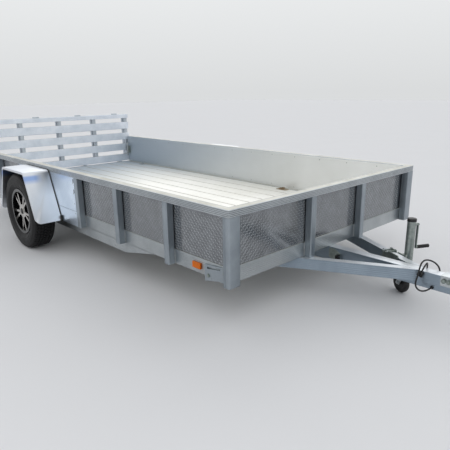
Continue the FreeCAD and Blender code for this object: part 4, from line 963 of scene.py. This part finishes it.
class TRAILER_OT_fenders(bpy.types.Operator):
    """Smooth fenders, each with a dark strip along its joint with the bed's side"""

    bl_idname = "trailer.fenders"
    bl_label = "Fenders"

    def execute(self, context):
        for side, sign in SIDES:
            node = f"fender_{side}"
            refine(node, ["fender"], 0.0009, angle=ROUND_SHARP)
            inner = inner_y(node, sign)
            places = self.outline(node, inner)
            # A dark strip along the fender's joint with the bed, for the dark line there, and a small block at its
            # foot
            shape = Shape()
            shape.sweep([(0, -0.001), (0.007, -0.001), (0.006, 0.0035), (0.0015, 0.005), (0, 0.004)],
                        self.stations(places, sign))
            foot = Vector((places[0].x + 0.003, inner, places[0].z))
            shape.block((foot.x - 0.010, inner, foot.z - 0.004),
                        (foot.x + 0.010, inner + 0.016 * sign, foot.z + 0.044), cut=0.003)
            finish_piece(shape, f"fender_seal_{side}", ["plastic"], slot="black_plastic")
        return {"FINISHED"}

    def outline(self, node, inner):
        """The fender's outer line beside the bed, from its front foot over the top to its rear foot."""
        shape = merged(node)
        flat = [Vector((v.co.x, v.co.z)) for v in shape.mesh.verts if abs(v.co.y - inner) < 1e-4]
        shape.mesh.free()
        hull = [flat[i] for i in convex_hull_2d(flat)]
        middle = sum(p.x for p in hull) / len(hull)
        base = min(p.y for p in hull)
        hull.sort(key=lambda p: math.atan2(p.y - base, p.x - middle))
        return [Vector((p.x, inner, p.y)) for p in hull]

    def stations(self, places, sign):
        """Stations along that line, their up axes away from its middle."""
        middle = sum(places, Vector()) / len(places)
        made = []
        for i, at in enumerate(places):
            ahead = (places[min(i + 1, len(places) - 1)] - places[max(i - 1, 0)]).normalized()
            up = Vector((ahead.z, 0, -ahead.x))
            made.append((at, Y * sign, up if up.dot(at - middle) > 0 else -up))
        return made


class TRAILER_OT_wheels(bpy.types.Operator):
    """Tyres with tread blocks, split-spoke alloy wheels, hubs and axle"""

    bl_idname = "trailer.wheels"
    bl_label = "Wheels"

    def execute(self, context):
        refine("axle_beam", bevel=0.003)
        for side, sign in SIDES:
            refine(f"torsion_arm_{side}", bevel=0.0015)
            refine(f"hub_{side}", bevel=0.0015)
            self.tyre(f"tyre_{side}", context.scene.trailer_sizes.block_count)
            self.rim(side, sign)
        return {"FINISHED"}

    def tyre(self, node, count):
        """The carcass with the steps of its sidewalls, and its blocks: five rows of tread and two of shoulder."""
        low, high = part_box(node)
        centre = (low + high) / 2
        radius = (high.z - low.z) / 2
        base = radius - 0.0075
        wall = [(0.190, 0.066), (0.205, 0.073), (0.212, 0.079), (0.222, 0.084), (0.236, 0.0935), (0.250, 0.0985),
                (0.252, 0.1000), (0.256, 0.1000), (0.258, 0.0992), (0.272, 0.1013), (0.286, 0.1008),
                (0.296, 0.0990), (0.298, 0.0998), (0.303, 0.0992), (0.305, 0.0972), (0.318, 0.0935),
                (0.329, 0.0885), (base - 0.002, 0.0800), (base, 0.0690)]
        widest = max(a for _, a in wall)
        ring = [(r, a * ((high.y - low.y) / 2 - 0.0004) / widest) for r, a in wall]
        ring += [(base, 0.0480), (base - 0.0015, 0.0470), (base - 0.0015, 0.0)]
        outline = ring + [(r, -a) for r, a in reversed(ring[:-1])] + [(0.196, -0.050), (0.196, 0.050)]
        shape = Shape()
        shape.turn(outline, centre, Y, 96, closed=True)
        finish_piece(shape, f"{node}_carcass", ["tyre"], [node], angle=28)
        item = Shape()
        item.sweep([(-0.5, -0.5), (0.5, -0.5), (0.5, 0.5), (-0.5, 0.5)],
                   [(Z * -0.4, X, Y), (Z * 0.42, X * 0.98, Y * 0.98), (Z * 0.5, X * 0.90, Y * 0.90)])
        around = 2 * math.pi * radius / count
        points = []
        # Each row's place across, its blocks' width, height, depth and share of the pitch, then the row's shift
        # round the tyre as a share of the pitch, and its lean and skew in degrees
        for across, wide, tall, depth, share, shift, lean, skew in (
                (0.0, 0.0235, 0.0098, 0.0049, 0.72, 0.0, 0, -10),
                (0.0295, 0.0235, 0.0098, 0.0053, 0.74, 0.5, 0, 14),
                (0.0605, 0.0270, 0.0098, 0.0065, 0.80, 0.25, 5, -10),
                (0.0830, 0.0200, 0.0075, 0.0125, 0.72, 0.25, 46, 0)):
            for hand in (1, -1) if across else (1,):
                leaned = Matrix.Rotation(-hand * math.radians(lean), 3, "X")
                skewed = Matrix.Rotation(hand * math.radians(skew), 3, "Z")
                for k in range(count):
                    t = 2 * math.pi * (k + shift) / count
                    at = centre + Vector((math.sin(t), 0, math.cos(t))) * (radius - depth) + Y * across * hand
                    turned = Matrix.Rotation(t, 3, "Y") @ leaned @ skewed
                    points.append((at, tuple(turned.to_euler()), (around * share, wide, tall)))
        repeat(f"{node}_tread", item, points, "tyre", BODY_OF[node])

    def rim(self, side, sign):
        """The wheel's cut faces, its lip, centre cap and nuts."""
        node = f"rim_{side}"
        low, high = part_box(node)
        centre = (low + high) / 2
        face_y = outer_y(node, sign)

        def machined(face):
            reach = min(math.hypot(v.co.x - centre.x, v.co.z - centre.z) for v in face.verts)
            deep = abs(face.calc_center_median().y - face_y)
            return face.normal.y * sign > 0.55 and reach < 0.17 and deep < 0.030

        refine(node, ["wheel_black", "machined"], 0.0016, machined)
        lip = abs(face_y)
        cap = lip - 0.016
        at = (centre.x, 0, centre.z)
        shape = Shape()
        for outline, steps, finish, closed in (
                ([(0.1985, lip - 0.010), (0.2060, lip - 0.004), (0.2066, lip), (0.2040, lip + 0.0001),
                  (0.1990, lip - 0.0016), (0.1965, lip - 0.008)], 80, 0, True),
                ([(0, cap + 0.0115), (0.020, cap + 0.0105), (0.026, cap + 0.006), (0.0275, cap),
                  (0.0275, cap - 0.004), (0, cap - 0.004)], 32, 1, False),
                ([(0.0275, cap - 0.004), (0.0300, cap - 0.002), (0.0300, cap + 0.0015), (0.0275, cap + 0.003)],
                 32, 2, True)):
            shape.turn(outline, at, Y * sign, steps, finish, closed)
        finish_piece(shape, f"rim_{side}_trim", ["wheel_black", "plastic", "machined"], body=BODY_OF[node],
                     slot="alloy_wheel", angle=30)
        nut = Shape()
        nut.turn([(0, 0), (0.0105, 0), (0.0105, 0.016), (0.007, 0.021), (0, 0.021)], (0, 0, 0), Z, 6)
        nut.turn([(0, -0.001), (0.0135, -0.001), (0.0135, 0.003), (0, 0.003)], (0, 0, 0), Z, 14)
        turns = [2 * math.pi * (k + 0.5) / WHEEL_NUTS for k in range(WHEEL_NUTS)]
        places = [(centre.x + NUT_CIRCLE * math.sin(t), sign * (lip - 0.038), centre.z + NUT_CIRCLE * math.cos(t))
                  for t in turns]
        repeat(f"wheel_nuts_{side}", nut, facing(OUTWARD[sign], places), body=BODY_OF[node])


class TRAILER_OT_tongue(bpy.types.Operator):
    """Tongue legs with drawn grooves, centre tube, coupler and its bolts"""

    bl_idname = "trailer.tongue"
    bl_label = "Tongue"

    def execute(self, context):
        pitch = context.scene.trailer_sizes.rib_pitch
        for side, _ in SIDES:
            self.leg(f"tongue_leg_{side}", pitch)
        draw_bars("tongue_centre", ["tongue_side", "tongue_top"], X, lambda low, high: ribbed(
            high.y - low.y, high.z - low.z, 0.003, pitch, 0.0020, 0.0006))
        refine("coupler", ["zinc_bright"], 0.0018)
        refine("coupler_latch", bevel=0.002)
        low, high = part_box("coupler")
        points = []
        for x in (low.x + 0.022, low.x + 0.052, low.x + 0.170):
            for side, y in (("-y", low.y), ("+y", high.y)):
                points += facing(side, [(x, y, low.z + 0.034)])
        repeat("coupler_bolts", bolt_head(0.019, 0.010), points)
        self.bracket()
        return {"FINISHED"}

    def leg(self, node, pitch):
        """One leg between its four corners seen from above, ribbed on both of its sides."""
        low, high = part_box(node)
        shape = merged(node)
        corners = [v.co.copy() for v in shape.mesh.verts if abs(v.co.z - high.z) < 1e-4]
        shape.mesh.free()
        corners.sort(key=lambda p: p.x)
        rear = sorted(corners[:2], key=lambda p: abs(p.y))
        # The section is 1 wide, to be stretched between the corners, and so its grooves are a share of the width
        profile = ribbed(1.0, high.z - low.z, 0.0, pitch, 0.0022, 0.0010 / (rear[1] - rear[0]).length)
        shape = Shape()
        shape.sweep(profile, [(Vector((a.x, a.y, low.z)), Vector((b.x - a.x, b.y - a.y, 0)), Z)
                              for a, b in (rear, corners[-2:])], finishes=upper_faces(profile))
        finish_piece(shape, f"{node}_drawn", ["tongue_side", "tongue_top"], [node], angle=DRAWN_SHARP)

    def bracket(self):
        """A bent bracket on the centre tube's right side, close to the bed, with its bolts."""
        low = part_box("tongue_centre")[0]
        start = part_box("front_rail")[1].x + 0.004
        shape = Shape()
        outline = [(0, 0.022), (0.030, 0), (0.082, 0), (0.094, 0.014), (0.094, 0.060), (0.046, 0.088), (0, 0.088)]
        shape.sweep(outline, [(Vector((start, low.y - out, low.z + 0.008)), X, Z) for out in (0.0, 0.005)])
        shape.sweep([(0.070, 0.0), (0.094, 0.0), (0.094, 0.046), (0.070, 0.046)],
                    [(Vector((start, low.y - out, low.z + 0.014)), X, Z) for out in (0.004, 0.030)], 1)
        finish_piece(shape, "tongue_bracket", ["zinc", "plastic"], bevel=0.0012)
        repeat("tongue_bracket_bolts", bolt_head(0.015, 0.008),
               facing("-y", [(start + 0.026, low.y - 0.005, low.z + 0.070),
                             (start + 0.050, low.y - 0.005, low.z + 0.036)]))


class TRAILER_OT_jack(bpy.types.Operator):
    """Swivel jack with its cap, crank and caster"""

    bl_idname = "trailer.jack"
    bl_label = "Tongue jack"

    def execute(self, context):
        refine("jack_mount")
        for node in ("jack_tube", "jack_leg", "jack_crank"):
            refine(node, bevel=0.0010, angle=ROUND_SHARP)
        refine("caster_fork", ["zinc_bright"], 0.0010, angle=ROUND_SHARP)
        self.top()
        self.clamp()
        self.caster()
        return {"FINISHED"}

    def caster(self):
        """The caster's wheel with its plastic bearing, and the nuts of its axle."""
        low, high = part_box("caster_wheel")
        centre = (low + high) / 2
        axis = Vector(JOINTS["caster_spin"]["axis"]).normalized()
        # Radii, and how far each lies in from the wheel's side face
        ring = [(0.0062, 0.001), (0.016, 0.001), (0.018, 0.005), (0.040, 0.008), (0.052, 0.006), (0.055, 0.002),
                (0.064, 0.001), (0.071, 0.006), ((high.z - low.z) / 2, 0.013)]
        outline = [(r, CASTER_HALF - a) for r, a in ring] + [(r, a - CASTER_HALF) for r, a in reversed(ring)]
        shape = Shape()
        shape.turn(outline, centre, axis, 56, closed=True, finishes=[1] * 4 + [0] * 9 + [1] * 5)
        finish_piece(shape, "caster_wheel_turned", ["caster_rubber", "plastic"], ["caster_wheel"], angle=30)
        repeat("caster_axle_nuts", bolt_head(0.019, 0.009),
               [looking(centre + axis * way * 0.0320, axis * way) for way in (1, -1)], "zinc_bright", "caster")

    def top(self):
        """The jack's black cap, its crank's nut and the ribbed black grip."""
        low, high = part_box("jack_leg")
        middle = Vector(((low.x + high.x) / 2, (low.y + high.y) / 2, 0))
        out = Vector(JOINTS["jack_swivel"]["axis"]).normalized()
        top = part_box("jack_tube")[1].z
        shape = Shape()
        shape.turn([(0, top + 0.007), (0.020, top + 0.0065), (0.0285, top + 0.004), (0.0305, top),
                    (0.0305, top - 0.016), (0.0287, top - 0.016), (0.0287, top + 0.0005), (0, top + 0.0005)],
                   middle, Z, 36)
        finish_piece(shape, "jack_cap", ["plastic"], body="jack", slot="black_plastic", angle=ROUND_SHARP)
        low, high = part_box("jack_crank")
        rows = [(0, 0.004), (0.0118, 0.004), (0.0124, 0.007)]
        for k in range(GRIP_RINGS):
            start = 0.010 + GRIP_PITCH * k
            rows += [(0.0124, start), (0.0124, start + 0.0046), (0.0112, start + 0.0054), (0.0112, start + 0.0068)]
        rows += [(0.0126, 0.0955), (0.0122, 0.0975), (0.0090, 0.0985), (0, 0.0985)]
        shape = Shape()
        shape.turn(rows, middle + out * CRANK_REACH + Z * (low.z + 0.011), out, 24)
        finish_piece(shape, "jack_grip", ["plastic"], body="jack", slot="black_plastic", angle=ROUND_SHARP)
        repeat("jack_crank_nut", bolt_head(0.013, 0.007),
               [looking(middle + out * CRANK_REACH + Z * (high.z - 0.009), out)], body="jack")

    def clamp(self):
        """Plates and bolts that clamp the jack's mount round the tongue's leg."""
        joint = JOINTS["jack_swivel"]
        out = Vector(joint["axis"]).normalized()
        back = Vector((-out.y, out.x, 0))
        pivot = Vector(joint["pos_m"])
        low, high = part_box("tongue_leg_left")
        half = (high.z - low.z) / 2
        bolts = [(along, level) for along in (0.068, 0.106) for level in (half + 0.006, -half - 0.005)]
        shape = Shape()
        shape.block((0.050, 0, -half - 0.010), (0.122, 0.007, half + 0.014))
        shape.block((-0.050, -LEG_THICK - 0.007, -half - 0.010), (0.122, -LEG_THICK, half + 0.014))
        for along, level in bolts:
            shape.turn([(0, -LEG_THICK - 0.022), (0.0050, -LEG_THICK - 0.022), (0.0050, 0.016), (0, 0.016)],
                       (along, 0, level), Y, 12)
        shape.place(Matrix.Translation(pivot) @ Matrix((back, out, Z)).transposed().to_4x4())
        finish_piece(shape, "jack_clamp", ["zinc"], bevel=0.0008, angle=ROUND_SHARP)
        repeat("jack_clamp_nuts", bolt_head(0.015, 0.007),
               [looking(pivot + back * along + out * across + Z * level, out * way) for along, level in bolts
                for across, way in ((0.007, 1), (-LEG_THICK - 0.007, -1))], "zinc_bright")


class TRAILER_OT_lamps(bpy.types.Operator):
    """Side markers and tail lamps"""

    bl_idname = "trailer.lamps"
    bl_label = "Lamps"

    def execute(self, context):
        for node in ("marker_amber", "marker_red", "tail_lamps"):
            refine(node, bevel=0.0015)
        return {"FINISHED"}


class TRAILER_OT_rings(bpy.types.Operator):
    """Tie-down rings lying on the floor under their clips"""

    bl_idname = "trailer.rings"
    bl_label = "Tie-down rings"

    def execute(self, context):
        refine("tie_downs", ["zinc_warm", "zinc_bright"], 0.0012, lambda face: face.calc_center_median().x < 0,
               ROUND_SHARP)
        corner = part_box("deck_planks")[1]
        shape = Shape()
        points = []
        for x in sorted({round((low.x + high.x) / 2, 3) for low, high in solid_boxes("tie_downs")}):
            for _, sign in SIDES:
                shape.block((x - 0.045, sign * (corner.y - 0.082), corner.z),
                            (x + 0.085, sign * (corner.y - 0.004), corner.z + 0.0022), int(x < 0), 0.008)
                points += facing("+z", [(x + 0.072, sign * (corner.y - b), corner.z + 0.002)
                                        for b in (0.018, 0.068)])
        finish_piece(shape, "tie_down_plates", ["zinc_warm", "zinc_bright"], bevel=0.0006)
        repeat("tie_down_screws", dome(0.006, 0.002), points)
        return {"FINISHED"}


class TRAILER_OT_harness(bpy.types.Operator):
    """Wiring harness: grommet, cord and plug"""

    bl_idname = "trailer.harness"
    bl_label = "Wiring harness"

    def execute(self, context):
        curve = bpy.data.curves.new("harness_cord_line", "CURVE")
        curve.dimensions = "3D"
        curve.bevel_depth = HARNESS_DIAMETER / 2
        curve.bevel_resolution = 3
        curve.resolution_u = 6
        curve.use_fill_caps = True
        line = curve.splines.new("NURBS")
        line.points.add(len(HARNESS_ROUTE) - 1)
        for point, place in zip(line.points, HARNESS_ROUTE):
            point.co = (*place, 1.0)
        line.order_u = 3
        line.use_endpoint_u = True
        curve.materials.append(FINISHES["cord"])
        cord = put("harness_cord_laid", curve)
        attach(cord, "chassis")
        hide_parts("harness_cord")
        plug = self.plug()
        gland = self.gland()
        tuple(HARNESS_ROUTE[0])
        return {"FINISHED"}

    def plug(self):
        """A flat moulded plug: a tapered boot, a body with grip ribs and a rim at its mouth."""
        wide, thick, corner = 0.036, 0.020, 0.22
        rows = [(0.0, 0.40, 0.62), (0.004, 0.50, 0.72), (0.008, 0.86, 0.90), (0.010, 0.96, 0.97)]
        for down in (0.013, 0.018, 0.023):
            rows += [(down, 0.96, 0.97), (down + 0.0005, 0.91, 0.92), (down + 0.002, 0.91, 0.92),
                     (down + 0.0025, 0.96, 0.97)]
        rows[-1:] = [(0.0255, 1.0, 1.0), (0.033, 1.0, 1.0), (0.034, 0.96, 0.95)]
        outline = []
        for sx, sy in ((1, 1), (-1, 1), (-1, -1), (1, -1)):
            for k in (0, 1, 2) if sx * sy > 0 else (2, 1, 0):
                t = math.pi / 4 * k
                outline.append((sx * (0.5 - corner * 0.5 * (1 - math.cos(t))),
                                sy * (0.5 - corner * (1 - math.sin(t)))))
        shape = Shape()
        shape.sweep(outline, [(Vector((0, 0, -down)), X * wide * a, Y * thick * b) for down, a, b in rows])
        shape.place(Matrix.Translation(HARNESS_ROUTE[-1]) @ Matrix.Rotation(math.radians(PLUG_LEAN), 4, "Y"))
        return finish_piece(shape, "harness_plug_moulded", ["plastic"], ["harness_plug"], angle=ROUND_SHARP)

    def gland(self):
        """The rubber grommet in the tube's side, drawn out into a short cone round the cord."""
        low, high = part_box("harness_grommet")
        centre = (low + high) / 2
        radius = (high.x - low.x) / 2
        shape = Shape()
        shape.turn([(0.0052, 0), (0.0078, 0.0), (0.0085, 0.002), (radius, 0.0025), (radius, 0.0055),
                    (0.0078, 0.0062), (0.0078, high.y - low.y), (0.0052, high.y - low.y)],
                   (centre.x, low.y, centre.z), Y, 28, closed=True)
        return finish_piece(shape, "harness_grommet_moulded", ["cord"], ["harness_grommet"], angle=ROUND_SHARP)


class TRAILER_OT_stage(bpy.types.Operator):
    """Pale floor, soft lamps, world and the camera at the photograph's place"""

    bl_idname = "trailer.stage"
    bl_label = "Stage"

    def execute(self, context):
        scene = context.scene
        scene.view_settings.view_transform = "Standard"
        self.ground(scene)
        self.light(scene)
        self.camera(scene)
        return {"FINISHED"}

    def camera(self, scene):
        """The camera at the place and with the lens that were fitted to the photograph."""
        heading, tilt, roll = (math.radians(a) for a in (CAMERA_HEADING, CAMERA_TILT, CAMERA_ROLL))
        ahead = Vector((math.cos(heading) * math.cos(tilt), math.sin(heading) * math.cos(tilt), math.sin(tilt)))
        right = Vector((math.sin(heading), -math.cos(heading), 0))
        up = right.cross(ahead)
        turned = Matrix((right * math.cos(roll) + up * math.sin(roll),
                         up * math.cos(roll) - right * math.sin(roll), -ahead)).transposed()
        data = bpy.data.cameras.new("Camera")
        data.lens = CAMERA_LENS
        data.sensor_width = CAMERA_SENSOR
        data.sensor_fit = "HORIZONTAL"
        data.clip_start = 0.05
        data.clip_end = 200
        camera = put("Camera", data)
        camera.matrix_world = Matrix.Translation(CAMERA_AT) @ turned.to_4x4()
        scene.camera = camera

    def ground(self, scene):
        """A wide floor at z = 0, nearly even in colour."""
        mesh = bpy.data.meshes.new("studio_floor")
        far = FLOOR_REACH
        mesh.from_pydata([(-far, -far, 0), (far, -far, 0), (far, far, 0), (-far, far, 0)], [], [(0, 1, 2, 3)])
        made, tree, place = new_finish("pale studio floor")
        base = tuple(scene.trailer_colours.floor)
        darker = tuple(c * 0.97 for c in base[:3]) + (1.0,)
        mesh.materials.append(end_finish(made, tree, {
            "Base Color": blend_of(tree, noise(tree, place, 1.3, 3.0), base, darker), "Roughness": 0.9}))
        put("studio_floor", mesh)

    def light(self, scene):
        """A world that lights the trailer evenly and shows plain and pale where it is seen or mirrored."""
        world = bpy.data.worlds.new("Soft sky")
        scene.world = world
        world.use_nodes = True
        tree = world.node_tree
        tree.nodes.clear()
        path = add_node(tree, "ShaderNodeLightPath").outputs
        seen = worked(tree, "ADD", path["Is Camera Ray"], path["Is Glossy Ray"], use_clamp=True)
        seen = worked(tree, "ADD", seen, path["Is Transmission Ray"], use_clamp=True)
        way = add_node(tree, "ShaderNodeTexCoord").outputs["Generated"]
        height = add_node(tree, "ShaderNodeSeparateXYZ", {"Vector": way}).outputs["Z"]
        overhead = ranged(tree, height, WORLD_HORIZON, 1.0, 0.0, WORLD_WHITE_FROM)
        lit = add_node(tree, "ShaderNodeBackground", {"Color": linear("#f3f5f9"), "Strength": WORLD_LIT})
        shown = add_node(tree, "ShaderNodeBackground", {"Color": linear("#f4f6f7"), "Strength": overhead})
        both = add_node(tree, "ShaderNodeMixShader", {0: seen, 1: lit.outputs[0], 2: shown.outputs[0]})
        add_node(tree, "ShaderNodeOutputWorld", {"Surface": both.outputs[0]})
        for name, kind, at, size, energy in LAMPS:
            data = bpy.data.lights.new(name, kind)
            setattr(data, "angle" if kind == "SUN" else "size", size)
            data.energy = energy
            lamp = put(name, data)
            lamp.visible_camera = False
            aimed = (Vector(LAMPS_AIM) - Vector(at)).to_track_quat("-Z", "Y").to_matrix().to_4x4()
            lamp.matrix_world = Matrix.Translation(at) @ aimed


class TRAILER_PT_panel(bpy.types.Panel):
    """The trailer's pieces, its sizes and its colours"""

    bl_idname = "TRAILER_PT_panel"
    bl_label = "Utility trailer"
    bl_space_type = "VIEW_3D"
    bl_region_type = "UI"
    bl_category = "Trailer"

    def draw(self, context):
        layout = self.layout
        for group in (context.scene.trailer_sizes, context.scene.trailer_colours):
            for key in group.bl_rna.properties.keys():
                if key not in ("rna_type", "name"):
                    layout.prop(group, key)
        for operator in OPERATORS:
            layout.operator(operator.bl_idname)


OPERATORS = (TRAILER_OT_harness, TRAILER_OT_rails, TRAILER_OT_posts, TRAILER_OT_panels, TRAILER_OT_floor,
             TRAILER_OT_gate, TRAILER_OT_fenders, TRAILER_OT_wheels, TRAILER_OT_tongue, TRAILER_OT_jack,
             TRAILER_OT_lamps, TRAILER_OT_rings, TRAILER_OT_stage)
CLASSES = (TrailerSizes, TrailerColours, *OPERATORS, TRAILER_PT_panel)


def register():
    for known in CLASSES:
        bpy.utils.register_class(known)
    bpy.types.Scene.trailer_sizes = bpy.props.PointerProperty(type=TrailerSizes)
    bpy.types.Scene.trailer_colours = bpy.props.PointerProperty(type=TrailerColours)


def unregister():
    del bpy.types.Scene.trailer_colours
    del bpy.types.Scene.trailer_sizes
    for known in reversed(CLASSES):
        bpy.utils.unregister_class(known)


def main():
    register()
    make_finishes(bpy.context.scene.trailer_colours)
    for operator in OPERATORS:
        group, name = operator.bl_idname.split(".")
        getattr(getattr(bpy.ops, group), name)()


if __name__ == "__main__":
    main()
